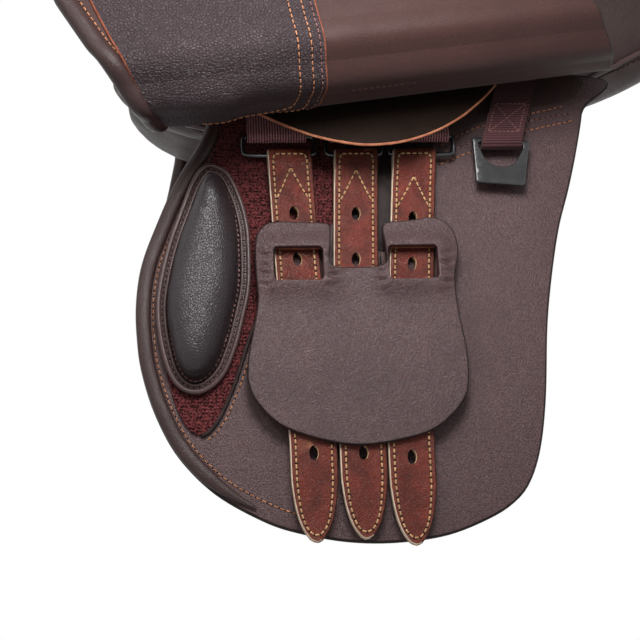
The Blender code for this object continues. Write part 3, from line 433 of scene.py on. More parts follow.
# %% The leathers
FLAP_GRAIN = leather(
    "flap_grain_leather", (0.045, 0.024, 0.022), (0.12, 0.07, 0.05),
    pebble=0.0013, crease=0.8, depth=0.00016, rough=(0.34, 0.52))
SWEAT_GRAIN = leather(
    "sweat_flap_leather", (0.077, 0.040, 0.041), (0.15, 0.09, 0.08),
    pebble=0.0010, crease=0.35, depth=0.00022, rough=(0.32, 0.41),
    wear=0.3, pores=0.75, swing=0.15, patch=0.05, shine=0.23)
SOFT_GRAIN = leather(
    "knee_roll_leather", (0.034, 0.020, 0.023), (0.05, 0.035, 0.035),
    pebble=0.0017, crease=1.0, depth=0.00034, rough=(0.42, 0.52), wear=0.2, pores=0.3)
ROLL_SKIN = leather(
    "rolled_edge_leather", (0.032, 0.015, 0.014), (0.08, 0.045, 0.04),
    pebble=0.0007, crease=0.4, depth=0.00010, rough=(0.32, 0.46))
BLOCK_GRAIN = leather(
    "knee_block_leather", (0.020, 0.013, 0.015), (0.05, 0.035, 0.037),
    pebble=0.0016, crease=1.0, depth=0.00011, rough=(0.34, 0.40), wear=0.1, pores=0.3, shine=0.32)
GUARD_SKIN = leather(
    "guard_leather", (0.067, 0.033, 0.034), (0.14, 0.08, 0.07),
    pebble=0.0009, crease=0.4, depth=0.00022, rough=(0.30, 0.37), wear=0.3, pores=0.75, shine=0.27)
STRAP_SKIN = leather(
    "girth_strap_leather", (0.100, 0.0134, 0.0064), (0.26, 0.10, 0.055),
    pebble=0.0009, crease=0.55, depth=0.00020, rough=(0.28, 0.42),
    wear=0.7, patch=0.011, pores=0.5, swing=0.8, shine=0.19)
FLESH_SIDE = leather(
    "flap_flesh_side", (0.032, 0.010, 0.008), (0.09, 0.04, 0.03),
    pebble=0.0030, crease=0.12, depth=0.00008, rough=(0.52, 0.70), wear=0.25, patch=0.06, sheen=0.08)
# Dark leather made almost black, as painted shade from the raised flap above it.
WEB_GUARD_LEATHER_AND_SHADE = leather(
    "web_guard_leather", (0.010, 0.005, 0.003), (0.06, 0.03, 0.02),
    pebble=0.0009, crease=0.25, depth=0.00008, rough=(0.62, 0.75), shine=0.08)
FACING_SKIN = leather(
    "panel_facing_leather", (0.026, 0.010, 0.009), (0.09, 0.045, 0.035),
    pebble=0.0009, crease=0.4, depth=0.00014, rough=(0.40, 0.52))
print("leathers:", len(bpy.data.materials))

# %% [markdown]
# ## Raw edges, foam and wood
# A cut edge shows the fibres of the leather, and most edges are paler than the dyed
# face. Fine noise gives such fibres. Larger noise gives open foam cells, and noise drawn
# out one way the plies of a laminated tree, so one function makes them all.


# %% Fibrous finishes
def fibrous(name, colour, streak, rough, size=0.0005, stretch=1.0, depth=0.00012):
    mat, tree, shade = shader_of(name)
    fibre = placed(tree, FIBRE, Fibre_Size=size, Stretch=stretch)
    tone = mix(tree, fibre.outputs["Streak"], colour, streak)
    tree.links.new(tone, shade.inputs["Base Color"])
    surface(shade, rough, 0.12)
    raise_bump(tree, shade, fibre.outputs["Height"], depth)
    return mat


RAW_RED = fibrous("raw_edge_red", (0.150, 0.042, 0.024), (0.230, 0.075, 0.040), rough=0.75)
RAW_ORANGE = fibrous("raw_edge_orange", (0.29, 0.100, 0.052), (0.42, 0.165, 0.090), rough=0.7)
RAW_TAN = fibrous("raw_edge_tan", (0.44, 0.27, 0.14), (0.60, 0.40, 0.23), rough=0.7)
RAW_CREAM = fibrous("raw_edge_cream", (0.48, 0.36, 0.26), (0.62, 0.50, 0.39), rough=0.8)
# Painted shade on the rear side of each strap's cut edge.
STRAP_EDGE_SHADE = fibrous(
    "strap_edge_dark", (0.020, 0.006, 0.004), (0.070, 0.022, 0.014), depth=0.00010, rough=0.6)
# Dyed cut edges, and the painted shade of the sheet behind the girth straps.
DYED_EDGE_AND_SHADE = fibrous(
    "dyed_edge", (0.012, 0.008, 0.008), (0.030, 0.018, 0.016), depth=0.00006, rough=0.55)
FOAM_SKIN = fibrous(
    "seat_foam_cells", (0.62, 0.50, 0.30), (0.74, 0.64, 0.42), size=0.0012, depth=0.0006, rough=0.95)
WOOD_TREE = fibrous(
    "laminated_wood", (0.36, 0.22, 0.11), (0.50, 0.33, 0.18), size=0.0012, stretch=9.0, rough=0.45)
# Near-black painted shade for needle holes, hole walls and the gap at the foot of a knee block's crown.
HOLE_SHADE = fibrous(
    "needle_hole", (0.006, 0.004, 0.004), (0.010, 0.006, 0.006), stretch=3.0, depth=0.0002, rough=0.9)
print("with edges, foam and wood:", len(bpy.data.materials))

# %% [markdown]
# ## Loop fabric finish
# The fabric that grips the knee block has a short pile in rows. Real loops would be far
# too small to see, so its ribs and pores are two masks that share one bump. Between the
# light loop tops the gaps are painted dark red as shade.


# %% Loop fabric finish
def looped(name, colour, deep):
    mat, tree, shade = shader_of(name)
    weave = placed(tree, WEAVE, Rib_Pitch=0.0021, Side=-1.0, Along=0.35)
    grain = placed(tree, GRAIN, Pebble_Size=0.0012, Crease=0.9)
    # The rib gaps and the pores are painted dark as shade.
    gap = maths(tree, "MULTIPLY", weave.outputs["Gap"], 0.45)
    pore = maths(tree, "MULTIPLY", grain.outputs["Pores"], 0.75)
    shadow = maths(tree, "ADD", gap, pore, clamp=True)
    tree.links.new(mix(tree, shadow, colour, deep), shade.inputs["Base Color"])
    surface(shade, 0.95, 0.05, 0.04)
    height = maths(tree, "SUBTRACT", weave.outputs["Height"], grain.outputs["Pores"])
    raise_bump(tree, shade, height, 0.0006)
    return mat


# The second colour is the painted shade in the gaps of the pile.
LOOP_NAP = looped("loop_fabric_nap", (0.180, 0.040, 0.042), (0.012, 0.003, 0.003))
print("loop fabric ready:", LOOP_NAP.name)

# %% [markdown]
# ## Webbing, metal and thread
# Webbing is woven in ribs, rings are enamelled black, bars are brushed steel and thread
# is twisted. The ribs are a bump that follows the lean of the side, since real ones
# would cost many faces. Fine streaks change the roughness of metal, so it looks used.


# %% Webbing, metal and thread finishes
WEB_GAP = (0.020, 0.009, 0.009)


def webbing(name, side, along, pitch, tone):
    mat, tree, shade = shader_of(name)
    weave = placed(tree, WEAVE, Rib_Pitch=pitch, Side=float(side), Along=along)
    used = placed(tree, WEAR, Amount=0.6, Patch_Size=0.02)
    colour = mix(tree, used.outputs["Blotch"], tone, scaled(tone, 1.4))
    colour = mix(tree, weave.outputs["Gap"], colour, WEB_GAP)
    tree.links.new(colour, shade.inputs["Base Color"])
    surface(shade, 0.9, 0.10, 0.05)
    raise_bump(tree, shade, weave.outputs["Height"], 0.00035)
    return mat


def metal(name, colour, rough, metallic, scratch=0.25, spread=0.08):
    mat, tree, shade = shader_of(name)
    used = placed(tree, WEAR, Amount=0.8, Patch_Size=0.006)
    fibre = placed(tree, FIBRE, Fibre_Size=0.0004, Stretch=6.0)
    bare = tuple(min(c, 0.8) for c in scaled(colour, 2.2, 0.05))
    tone = mix(tree, used.outputs["Blotch"], colour, scaled(colour, 1.35, 0.004))
    tone = mix(tree, used.outputs["Rub"], tone, bare)
    tree.links.new(tone, shade.inputs["Base Color"])
    shade.inputs["Metallic"].default_value = metallic
    shine = node(tree, "ShaderNodeMapRange", {
        "Value": fibre.outputs["Streak"], "To Min": rough - spread, "To Max": rough + spread * 1.5})
    tree.links.new(shine.outputs[0], shade.inputs["Roughness"])
    raise_bump(tree, shade, fibre.outputs["Height"], 0.00003, scratch)
    return mat


def thread(name, colour):
    mat, tree, shade = shader_of(name)
    fibre = placed(tree, FIBRE, Fibre_Size=0.00035, Stretch=1.0)
    tone = mix(tree, fibre.outputs["Streak"], colour, scaled(colour, 0.6))
    tree.links.new(tone, shade.inputs["Base Color"])
    surface(shade, 0.7, 0.2)
    raise_bump(tree, shade, fibre.outputs["Height"], 0.00015)
    return mat


print("webbing, metal and thread makers ready")

# %% Webs, metals and threads of this saddle
GIRTH_TONE = (0.380, 0.165, 0.170)
SPARE_TONE = (0.080, 0.033, 0.037)
GIRTH_WEBS = {}
SPARE_WEBS = {}
for PREFIX, SIDE in SIDES.items():
    GIRTH_WEBS[SIDE] = webbing("girth_web_" + PREFIX[:-1], SIDE, along=1.0, pitch=0.0015, tone=GIRTH_TONE)
    SPARE_WEBS[SIDE] = webbing("spare_web_" + PREFIX[:-1], SIDE, along=0.15, pitch=0.0016, tone=SPARE_TONE)
SEAT_WEB = webbing("seat_webbing_weave", 1, along=1.0, pitch=0.0022, tone=(0.36, 0.30, 0.22))
BLACK_METAL = metal("black_ring_metal", (0.006, 0.006, 0.007), 0.20, 0.0, scratch=0.04, spread=0.02)
STEEL = metal("brushed_steel", (0.50, 0.50, 0.51), 0.30, 1.0)
THREAD_ORANGE = thread("thread_orange", (0.47, 0.20, 0.10))
THREAD_PINK = thread("thread_pink", (0.22, 0.105, 0.095))
THREAD_CREAM = thread("thread_cream", (0.58, 0.34, 0.17))
THREAD_DARK = thread("thread_dark", (0.10, 0.05, 0.04))
print("all finishes so far:", len(bpy.data.materials))

# %% [markdown]
# ## Finishing a piece
# Each piece ends the same way: it becomes a mesh with its materials and smooth shading,
# and where a body is given it gets a place on that one moving body. Weighted normals
# keep large flat areas flat right up to a small rounded edge.


# %% Make, hang and finish
WELD = 2e-6


def finish_piece(name, bm, mats, body=None, replaces=(), weld=WELD):
    if weld:
        bmesh.ops.remove_doubles(bm, verts=bm.verts[:], dist=weld)
    bmesh.ops.recalc_face_normals(bm, faces=bm.faces[:])
    mesh = bpy.data.meshes.new(name)
    bm.to_mesh(mesh)
    bm.free()
    for mat in mats:
        mesh.materials.append(mat)
    mesh.polygons.foreach_set("use_smooth", [True] * len(mesh.polygons))
    obj = bpy.data.objects.new(name, mesh)
    bpy.context.scene.collection.objects.link(obj)
    mod = obj.modifiers.new("flat_faces_stay_flat", "WEIGHTED_NORMAL")
    mod.keep_sharp = True
    if body:
        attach(obj, body)
    if replaces:
        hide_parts(*replaces)
    return obj


print("points closer than", WELD, "m are welded")


# %% Skin a row of equal rings
def skin(bm, rings, closed=False, caps=True, index=0):
    rows = [[bm.verts.new(p) for p in ring] for ring in rings]
    count = len(rows[0])
    pairs = list(zip(rows, rows[1:])) + ([(rows[-1], rows[0])] if closed else [])
    for low, high in pairs:
        for i in range(count):
            j = (i + 1) % count
            bm.faces.new((low[i], low[j], high[j], high[i])).material_index = index
    if caps and not closed:
        bm.faces.new(rows[0]).material_index = index
        bm.faces.new(list(reversed(rows[-1]))).material_index = index
    return rows


print("ring skins ready")


# %% [markdown]
# ## A slab of leather
# Most parts of a saddle are slabs cut to a pattern. The cut edge is rounded with an
# edge tool and shows the fibres, so the slab has its own edge material. The broad
# faces are filled by a constrained triangulation with points inside, which lets the
# slab bend later and lets holes be part of the pattern.


# %% Fill a flat area
TRIANGLE_HEIGHT = 0.866
BORDER_CLEAR = 0.45


def fill_flat(loops, grid):
    """Triangles of a flat area; loops[0] is the border and the others are holes."""
    spots, edges = [], []
    for loop in loops:
        first = len(spots)
        spots += [Vector(p[:2]) for p in loop]
        edges += [(first + i, first + (i + 1) % len(loop)) for i in range(len(loop))]
    border = np.array([p[:] for p in spots])
    low, high = border.min(0), border.max(0)
    rows = []
    for j, y in enumerate(np.arange(low[1] + grid / 2, high[1], grid * TRIANGLE_HEIGHT)):
        for x in np.arange(low[0] + grid * (0.25 if j % 2 else 0.75), high[0], grid):
            rows.append((x, y))
    if rows:
        keep = inside(loops[0], rows)
        for loop in loops[1:]:
            keep &= ~inside(loop, rows)
        rows = np.array(rows)[keep]
        if len(rows):
            apart = np.linalg.norm(rows[:, None, :] - border[None, :, :], axis=2)
            far = np.min(apart, axis=1) > grid * BORDER_CLEAR
            spots += [Vector(p) for p in rows[far]]
    made = geometry.delaunay_2d_cdt(spots, edges, [], 0, 1e-9)
    points, faces = made[0], made[2]
    middles = [sum((points[i] for i in f), Vector((0.0, 0.0))) / len(f) for f in faces]
    keep = inside(loops[0], middles)
    for loop in loops[1:]:
        keep &= ~inside(loop, middles)
    return points, [f for f, k in zip(faces, keep) if k]


TRIANGLES = fill_flat([SQUARE], 0.2)[1]
print("a unit square is filled with", len(TRIANGLES), "triangles")


# %% Slab maker
# Each ring of the rounded edge: how far it is set in, its face (0 back, 1 front) and how
# far it lies from that face. Both lengths are shares of the rounding.
EDGE_ROWS = [
    (1.0, 0, 0.0), (0.34, 0, 0.30), (0.0, 0, 1.0),
    (0.0, 1, 1.0), (0.34, 1, 0.30), (1.0, 1, 0.0)]
ROUND_SHARE = 0.45


def between(low, high):
    """Heights of a slab that is equally thick all over."""
    return lambda a, b: (low, high)


def slab(bm, outline, lift, heights, holes=(), edge=0.001, grid=0.006,
         mats=(0, 1, 2), hole_mat=1, hole_edge=0.0005):
    """Front face, cut edge and back face of a slab; lift(a, b, w) gives the place."""
    first, last = [], []
    for n, loop in enumerate([outline] + list(holes)):
        rounding = edge if n == 0 else hole_edge
        rings = []
        for part, upper, up in EDGE_ROWS:
            points = inset(loop, part * (rounding if n == 0 else -rounding))
            ring = []
            for p in points:
                low, high = heights(p[0], p[1])
                rise = min(rounding, ROUND_SHARE * (high - low)) * up
                ring.append(lift(p[0], p[1], high - rise if upper else low + rise))
            rings.append((points, ring))
        skin(bm, [r for _, r in rings], caps=False, index=mats[1] if n == 0 else hole_mat)
        first.append(rings[0][0])
        last.append(rings[-1][0])
    for loops, upper, index in ((last, 1, mats[0]), (first, 0, mats[2])):
        points, faces = fill_flat(loops, grid)
        verts = [bm.verts.new(lift(p[0], p[1], heights(p[0], p[1])[upper])) for p in points]
        for f in faces:
            bm.faces.new([verts[i] for i in f]).material_index = index


print("slab maker ready, with", len(EDGE_ROWS), "rings on an edge")

# %% [markdown]
# ## Stitches and beads
# Thread shows as short fat bars with a needle hole between them. They are real
# geometry here, because a painted row looks flat from the side. One row is one mesh:
# a small capsule for each stitch and a disc of painted shade for each hole. Piping
# and welts are beads, made as a tube along a path.


# %% Stitch row maker
STITCH_PITCH = 0.0034
STITCH_HALF = 0.00036
STITCH_RINGS = ((-1.0, 0.45), (-0.72, 0.95), (0.0, 1.08), (0.72, 0.95), (1.0, 0.45))
STITCH_TURNS = (0.3, 1.57, 2.84, 4.0, 5.4)
HOLE_TURNS = (0, 1.05, 2.1, 3.14, 4.19, 5.24)
STITCH_LIFT = 0.35
STITCH_SINK = 0.5
HOLE_WIDE = 1.45
HOLE_LIFT = 0.00006
UP = Vector((0.0, 0.0, 1.0))
DOWN = Vector((0.0, 0.0, -1.0))


def squared(out, spot, run):
    """The way out of the leather, given as a direction or a function, square to a run."""
    up = out(spot) if callable(out) else out
    up = (up - run * up.dot(run)).normalized()
    return up, run.cross(up)


def stitches(bm, path, out, pitch=STITCH_PITCH, half=STITCH_HALF, share=0.76, index=0, holes=True):
    """Adds a row of stitches along a path; share is how much of a pitch is thread."""
    spots = even(path, pitch)
    long = pitch * share / 2
    for a, b in zip(spots, spots[1:]):
        run = (b - a).normalized()
        up, across = squared(out, (a + b) / 2, run)
        mid = (a + b) / 2 + up * half * STITCH_LIFT
        rings = []
        for reach, wide in STITCH_RINGS:
            centre = mid + run * long * reach + up * (-half * STITCH_SINK * abs(reach) ** 3)
            rings.append([
                centre + (across * math.cos(t) + up * math.sin(t)) * half * wide
                for t in STITCH_TURNS])
        skin(bm, rings, index=index)
        # Each needle hole is a flat disc of painted shade.
        if holes:
            middle = a + up * HOLE_LIFT
            wide = half * HOLE_WIDE
            disc = [middle + (run * math.cos(t) + across * math.sin(t)) * wide for t in HOLE_TURNS]
            bm.faces.new([bm.verts.new(p) for p in disc]).material_index = index + 1


print("stitches are", STITCH_PITCH, "m apart")


# %% Bead maker
def tube(bm, path, radius, sides=8, closed=False, index=0, squash=1.0, out=UP):
    """Round cord or bead along a path; radius is a length or a function of the way along."""
    count = len(path)
    turns = np.linspace(0, 2 * math.pi, sides, endpoint=False)
    rings = []
    for i, p in enumerate(path):
        back = path[i - 1] if closed else path[max(i - 1, 0)]
        ahead = path[(i + 1) % count] if closed else path[min(i + 1, count - 1)]
        up, across = squared(out, p, (ahead - back).normalized())
        r = radius(i / max(count - 1, 1)) if callable(radius) else radius
        rings.append([p + (across * math.cos(t) + up * math.sin(t) * squash) * r for t in turns])
    skin(bm, rings, closed=closed, index=index)


print("bead maker ready")

# %% [markdown]
# ## Sweat flaps
# The sweat flap lies against the horse. It is one broad slab of leather with a dyed
# cut edge, a padded roll down its front edge and rows of stitches where the panel is
# sewn on behind. The outline is a measured pattern, so both sides share it.

# %% Sweat flap pattern
SWEAT_THICK = 0.004
SWEAT = smooth(mm([
    (-100, -8), (-104, 12), (-109, 32), (-124, 59), (-135, 85), (-143, 108), (-146, 130),
    (-145.5, 150), (-143, 168), (-136, 191), (-124, 214), (-105, 234), (-81, 248.5),
    (-63, 255.3), (-37, 260.8), (-11, 262), (16, 259), (39, 251), (53, 243), (62.5, 232.5),
    (70, 214), (75.5, 186), (80, 146.5), (85, 118), (92, 88), (100, 64), (107, 40),
    (113, 15), (116, -8)]), closed=True)
SEAM_ROWS = [
    (mm([(26.1, 48.6), (48.9, 39.3), (76.2, 28.7), (106.5, 21.6)]), 0),
    (mm([(26.6, 42.6), (50, 33), (76.8, 22.5), (107, 16.6)]), 1),
    (mm([(27, 37.1), (47.1, 26.6), (80.2, 17.6), (101.5, 12.3)]), 0),
]
print("sweat flap outline:", len(SWEAT), "points")


# %% Helpers on the leaning side
def outward(side):
    return (place(side, 0, 0, 1) - place(side, 0, 0, 0)).normalized()


def on_side(side, points, w):
    """Lays flat pattern points on the leaning side at height w."""
    return [place(side, p[0], p[1], w) for p in points]


def part_of(loop, keep, step=0.002):
    """The first unbroken run of a closed loop's points that pass a test."""
    points = even(loop, step, closed=True)
    count = len(points)
    start = next(i for i in range(count) if keep(points[i]) and not keep(points[i - 1]))
    run = []
    for n in range(count):
        p = points[(start + n) % count]
        if not keep(p):
            break
        run.append(p)
    return run


print("way out of the near side:", [round(x, 3) for x in outward(-1)])


# %% Make the sweat flaps
SWEAT_SEAM_IN = 0.0094
ROLL_IN = 0.0042
ROLL_LIFT = 0.0016
ROLL_HALF = 0.0041
ROLL_SQUASH = 0.62


def sweat_flap(prefix, side):
    bm = bmesh.new()
    outline = even(SWEAT, 0.004, closed=True)
    slab(bm, outline, partial(place, side), between(0.0, SWEAT_THICK), edge=0.0013, grid=0.012)
    out = outward(side)
    for path, tone in SEAM_ROWS:
        stitches(bm, on_side(side, smooth(path), SWEAT_THICK), out, index=3 + 2 * tone)
    front = part_of(inset(SWEAT, SWEAT_SEAM_IN), lambda p: p[0] < -0.06 and 0.004 < p[1] < 0.246)
    stitches(bm, on_side(side, front, SWEAT_THICK), out, index=3)
    mats = [SWEAT_GRAIN, DYED_EDGE_AND_SHADE, FLESH_SIDE, THREAD_ORANGE, HOLE_SHADE, THREAD_PINK, HOLE_SHADE]
    name = prefix + "sweat_flap"
    finish_piece(name + "_leather", bm, mats, "saddle", [name])


def roll_girth(f):
    """Half width of the padded front edge, tapered at both ends."""
    return ROLL_HALF * min(1.0, 0.15 + 9.0 * min(f, 1.0 - f))


def sweat_roll(prefix, side):
    def on_front(p):
        return p[0] < -0.07 and -0.006 < p[1] < 0.243
    path = part_of(inset(SWEAT, ROLL_IN), on_front, step=0.004)
    line = on_side(side, path, SWEAT_THICK + ROLL_LIFT)
    bm = bmesh.new()
    tube(bm, line, roll_girth, sides=14, squash=ROLL_SQUASH, out=outward(side))
    name = prefix + "sweat_roll"
    obj = finish_piece(name + "_padding", bm, [ROLL_SKIN], "saddle", [name])


for PREFIX, SIDE in SIDES.items():
    sweat_flap(PREFIX, SIDE)
    sweat_roll(PREFIX, SIDE)
print("sweat flaps and rolls made")

# %% [markdown]
# ## Loop fabric
# The knee block grips a field of napped loop fabric, so a rider can move it. The
# fabric is thin and soft, with a bound edge and a row of stitches. Behind the straps
# lies a dark sheet of painted shade, and behind the spare ring the facing of the
# panel. All three are thin slabs on the sweat flap.

# %% Loop fabric fields
LOOP_FIELD = smooth(mm([
    (-97, 10), (-62, 7), (-33, 9), (-29, 40), (-32, 72), (-46, 97), (-64, 114), (-77, 130),
    (-86, 151), (-94, 175), (-104, 196), (-113, 203), (-121, 196), (-127, 180), (-131, 160),
    (-132.4, 140), (-130, 118), (-124.5, 98), (-116.5, 78), (-107.5, 56), (-100, 34)]), closed=True, steps=4)
# Outline of a dark sheet of painted shade behind and between the girth straps.
STRAP_SHADE_SHEET = smooth(mm([
    (-31, 9), (-10, 8), (12, 8), (22, 12), (23, 40), (18, 70), (14, 96), (0, 100), (-20, 100),
    (-34, 97), (-30, 70), (-27, 40)]), closed=True, steps=4)
PANEL_FACING = smooth(mm([
    (24, -6), (70, -7), (114, -6), (110, 5), (103, 9.6), (80.4, 14.6), (64, 18.6), (47.6, 23.8),
    (36, 29), (25, 33), (23, 14)]), closed=True, steps=4)
FABRIC_BACK = SWEAT_THICK + 0.0001
FABRIC_TOP = SWEAT_THICK + 0.0009
FABRIC_SWELL = 0.0007
SWELL_FROM, SWELL_TO = -0.074, -0.080
BOUND_FROM = 0.118
BOUND_HALF = 0.0012


def fabric_heights(a, b):
    """The fabric is thicker in front, where the knee block sits."""
    return FABRIC_BACK, FABRIC_TOP + FABRIC_SWELL * share_of(a, SWELL_FROM, SWELL_TO)


def loop_field(prefix, side):
    bm = bmesh.new()
    lift, out = partial(place, side), outward(side)
    slab(bm, even(LOOP_FIELD, 0.004, closed=True), lift, fabric_heights, edge=0.0004, grid=0.008)
    bound = part_of(inset(LOOP_FIELD, -0.0006), lambda p: p[1] > BOUND_FROM and p[0] > -0.113)
    tube(bm, on_side(side, even(bound, 0.004), FABRIC_TOP), BOUND_HALF, sides=8, out=out, index=3)
    beyond = part_of(inset(LOOP_FIELD, -0.0036), lambda p: p[1] > BOUND_FROM and p[0] > -0.110)
    stitches(bm, on_side(side, beyond, SWEAT_THICK), out, index=4)
    # The sheet behind the straps takes the dark dyed-edge colour as painted shade.
    for shape, index in ((STRAP_SHADE_SHEET, 3), (PANEL_FACING, 6)):
        slab(bm, even(shape, 0.004, closed=True), lift, between(FABRIC_BACK, SWEAT_THICK + 0.0007),
             edge=0.0003, grid=0.009, mats=(index, index, index))
    mats = [LOOP_NAP, LOOP_NAP, LOOP_NAP, DYED_EDGE_AND_SHADE, THREAD_ORANGE, HOLE_SHADE, FACING_SKIN]
    finish_piece(prefix + "loop_fabric", bm, mats, "saddle", [prefix + "loop_pad"])


for PREFIX, SIDE in SIDES.items():
    loop_field(PREFIX, SIDE)
print("loop fabric laid")

# %% [markdown]
# ## Stuffing by cloth simulation
# A stuffed piece is drawn slightly small, given an even mesh and blown up a little
# with cloth pressure, which pulls its skin tight the way flock or foam does. A cap on
# how far a point may move keeps it in its own space. The simulation always gives the
# same result, and the off-side piece is the mirror of the near-side one.


# %% Stuff a closed form
STUFFING_FRAMES = 20


def stuffed(bm, voxel, pressure, cap, loose=None):
    """Returns the points and faces of a closed form after it has been blown up.
    loose(point) is 0 where a seam holds the skin down and 1 where it is free."""
    bmesh.ops.recalc_face_normals(bm, faces=bm.faces[:])
    mesh = bpy.data.meshes.new("stuffing")
    bm.to_mesh(mesh)
    bm.free()
    obj = bpy.data.objects.new("stuffing", mesh)
    bpy.context.scene.collection.objects.link(obj)
    even_mesh = obj.modifiers.new("even_mesh", "REMESH")
    even_mesh.mode = "VOXEL"
    even_mesh.voxel_size = voxel
    remeshed = obj.evaluated_get(bpy.context.evaluated_depsgraph_get())
    obj.data = bpy.data.meshes.new_from_object(remeshed)
    obj.modifiers.clear()
    start = np.array([v.co[:] for v in obj.data.vertices])
    points = start.copy()
    cloth = obj.modifiers.new("pressure", "CLOTH")
    cloth.settings.use_pressure = True
    cloth.settings.uniform_pressure_force = pressure
    cloth.settings.effector_weights.gravity = 0.0
    cloth.settings.quality = 4
    cloth.settings.mass = 0.3
    scene = bpy.context.scene
    for f in range(1, STUFFING_FRAMES + 1):
        scene.frame_set(f)
    done = obj.evaluated_get(bpy.context.evaluated_depsgraph_get())
    moved = np.array([v.co[:] for v in done.data.vertices]) - start
    far = np.linalg.norm(moved, axis=1, keepdims=True)
    points = start + moved * np.minimum(1.0, cap / np.maximum(far, 1e-9))
    if loose:
        points = start + (points - start) * np.array([[loose(Vector(p))] for p in start])
    obj.modifiers.clear()
    scene.frame_set(1)
    faces = [tuple(p.vertices) for p in obj.data.polygons]
    bpy.data.objects.remove(obj, do_unlink=True)
    return [Vector(p) for p in points], faces


print("stuffing runs for", STUFFING_FRAMES, "frames")


# %% Use a stuffed form
def skin_from(points, faces, mirror=False):
    bm = bmesh.new()
    verts = [bm.verts.new((p.x, -p.y if mirror else p.y, p.z)) for p in points]
    for f in faces:
        bm.faces.new([verts[i] for i in f])
    return bm


def softened(obj, levels=1, smoothing=0.0):
    if smoothing:
        even_out = obj.modifiers.new("even_out", "SMOOTH")
        even_out.factor = smoothing
        even_out.iterations = 3
    rounder = obj.modifiers.new("rounder", "SUBSURF")
    rounder.levels = rounder.render_levels = levels


print("stuffed forms can be mirrored and softened")


# %% [markdown]
# ## Knee blocks
# A knee block is a piped leather flange with a crowned, stuffed middle. The flange is
# a slab, the piping a bead along its edge, and the crown is stuffed by simulation.
# One row of stitches holds the piping and one closes the crown. A thin dark bead of
# painted shade lies in the gap at the foot of the crown.

# %% Knee block pattern and crown
BLOCK = smooth(mm([
    (-106, 49), (-95, 53.5), (-88, 68), (-83.8, 86), (-83, 106), (-83.8, 123), (-87.5, 140),
    (-92.2, 157), (-99, 172), (-110, 181), (-121, 180), (-129, 170), (-134, 150), (-135, 128),
    (-129.5, 100), (-121.5, 76), (-114, 57)]), closed=True)
BLOCK_BACK = 0.0061
BLOCK_TOP = BLOCK_BACK + 0.0025
CROWN_SUNK = 0.0012
CROWN_ROWS = [
    (0.0060, 0.0), (0.0061, 0.0040), (0.0070, 0.0090), (0.0090, 0.0140), (0.0118, 0.0175),
    (0.0150, 0.0194), (0.0184, 0.0203)]
CROWN_LEAN = 0.0022
HELD_BELOW, FREE_ABOVE = 0.001, 0.009


def crown_shape():
    """The crown leans a little forward, so its front flank is the steeper one."""
    bm = bmesh.new()
    loop = even(BLOCK, 0.004, closed=True)
    rings = []
    for d, rise in CROWN_ROWS:
        forward = CROWN_LEAN * (rise / 0.02) ** 2
        ring = [Vector((p[0] - forward, p[1])) for p in inset(loop, d)]
        rings.append(on_side(-1, ring, BLOCK_TOP - CROWN_SUNK + rise))
    skin(bm, rings)
    base, out = place(-1, 0, 0, BLOCK_TOP), outward(-1)

    def loose(p):
        return share_of((p - base).dot(out), HELD_BELOW, FREE_ABOVE)
    return stuffed(bm, voxel=0.004, pressure=4.0, cap=0.0025, loose=loose)


CROWN_POINTS, CROWN_FACES = crown_shape()
print("knee block crown:", len(CROWN_POINTS), "points")


# %% Make the knee blocks
PIPING_SKIN = leather(
    "piping_leather", (0.052, 0.028, 0.028), (0.13, 0.08, 0.07),
    pebble=0.0006, crease=0.2, depth=0.00004, rough=(0.26, 0.38), wear=0.5)
# Beads from the rim inward: distance in, half width, number of sides, lift, material.
# The last bead is a thin dark strip of painted shade in the gap at the foot of the crown.
BLOCK_BEADS = [
    (0.0015, 0.0015, 10, -0.0001, 3), (0.0050, 0.0009, 8, -0.0001, 3), (0.0060, 0.0006, 6, 0.0, 5)]
PIPING_ROW_IN = 0.0036
CROWN_ROW_IN = 0.0067
CROWN_ROW_LIFT = 0.0014


def knee_block(prefix, side):
    bm = bmesh.new()
    loop = even(BLOCK, 0.003, closed=True)
    slab(bm, inset(loop, 0.0006), partial(place, side), between(BLOCK_BACK, BLOCK_TOP), grid=0.008)
    out = outward(side)
    for d, half, sides, lift, index in BLOCK_BEADS:
        bead = on_side(side, inset(loop, d), BLOCK_TOP + lift)
        tube(bm, bead, half, sides=sides, closed=True, out=out, index=index)
    row = inset(loop, PIPING_ROW_IN)
    row = on_side(side, row + row[:1], BLOCK_TOP)
    stitches(bm, row, out, pitch=0.0031, half=0.00044, share=0.52, index=4)
    seam = inset(loop, CROWN_ROW_IN)
    seam = on_side(side, seam + seam[:1], BLOCK_TOP + CROWN_ROW_LIFT)
    stitches(bm, seam, out, pitch=0.0029, half=0.00040, share=0.6, index=6, holes=False)
    mats = [PIPING_SKIN, DYED_EDGE_AND_SHADE, LOOP_NAP, PIPING_SKIN, THREAD_DARK, HOLE_SHADE, THREAD_PINK]
    name = prefix + "knee_block"
    finish_piece(name + "_flange", bm, mats, BODY[name], ())
    bm = skin_from(CROWN_POINTS, CROWN_FACES, side > 0)
    crown = finish_piece(name + "_crown", bm, [BLOCK_GRAIN], None, [name], weld=0)
    softened(crown, 1, 0.4)
    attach(crown, BODY[name])


for PREFIX, SIDE in SIDES.items():
    knee_block(PREFIX, SIDE)
print("knee blocks made")

# %% [markdown]
# ## Girth straps
# Three straps a side hang from rings. Each is thick oiled leather, cut to a point and
# punched with six long holes, with a stitched border and a stitched peak where the
# strap's lining ends. The cut edge is pale, and along the rear it is painted dark as
# shade. Holes are part of the pattern, so they are real, and their walls are painted
# dark as shade except where they face the front.

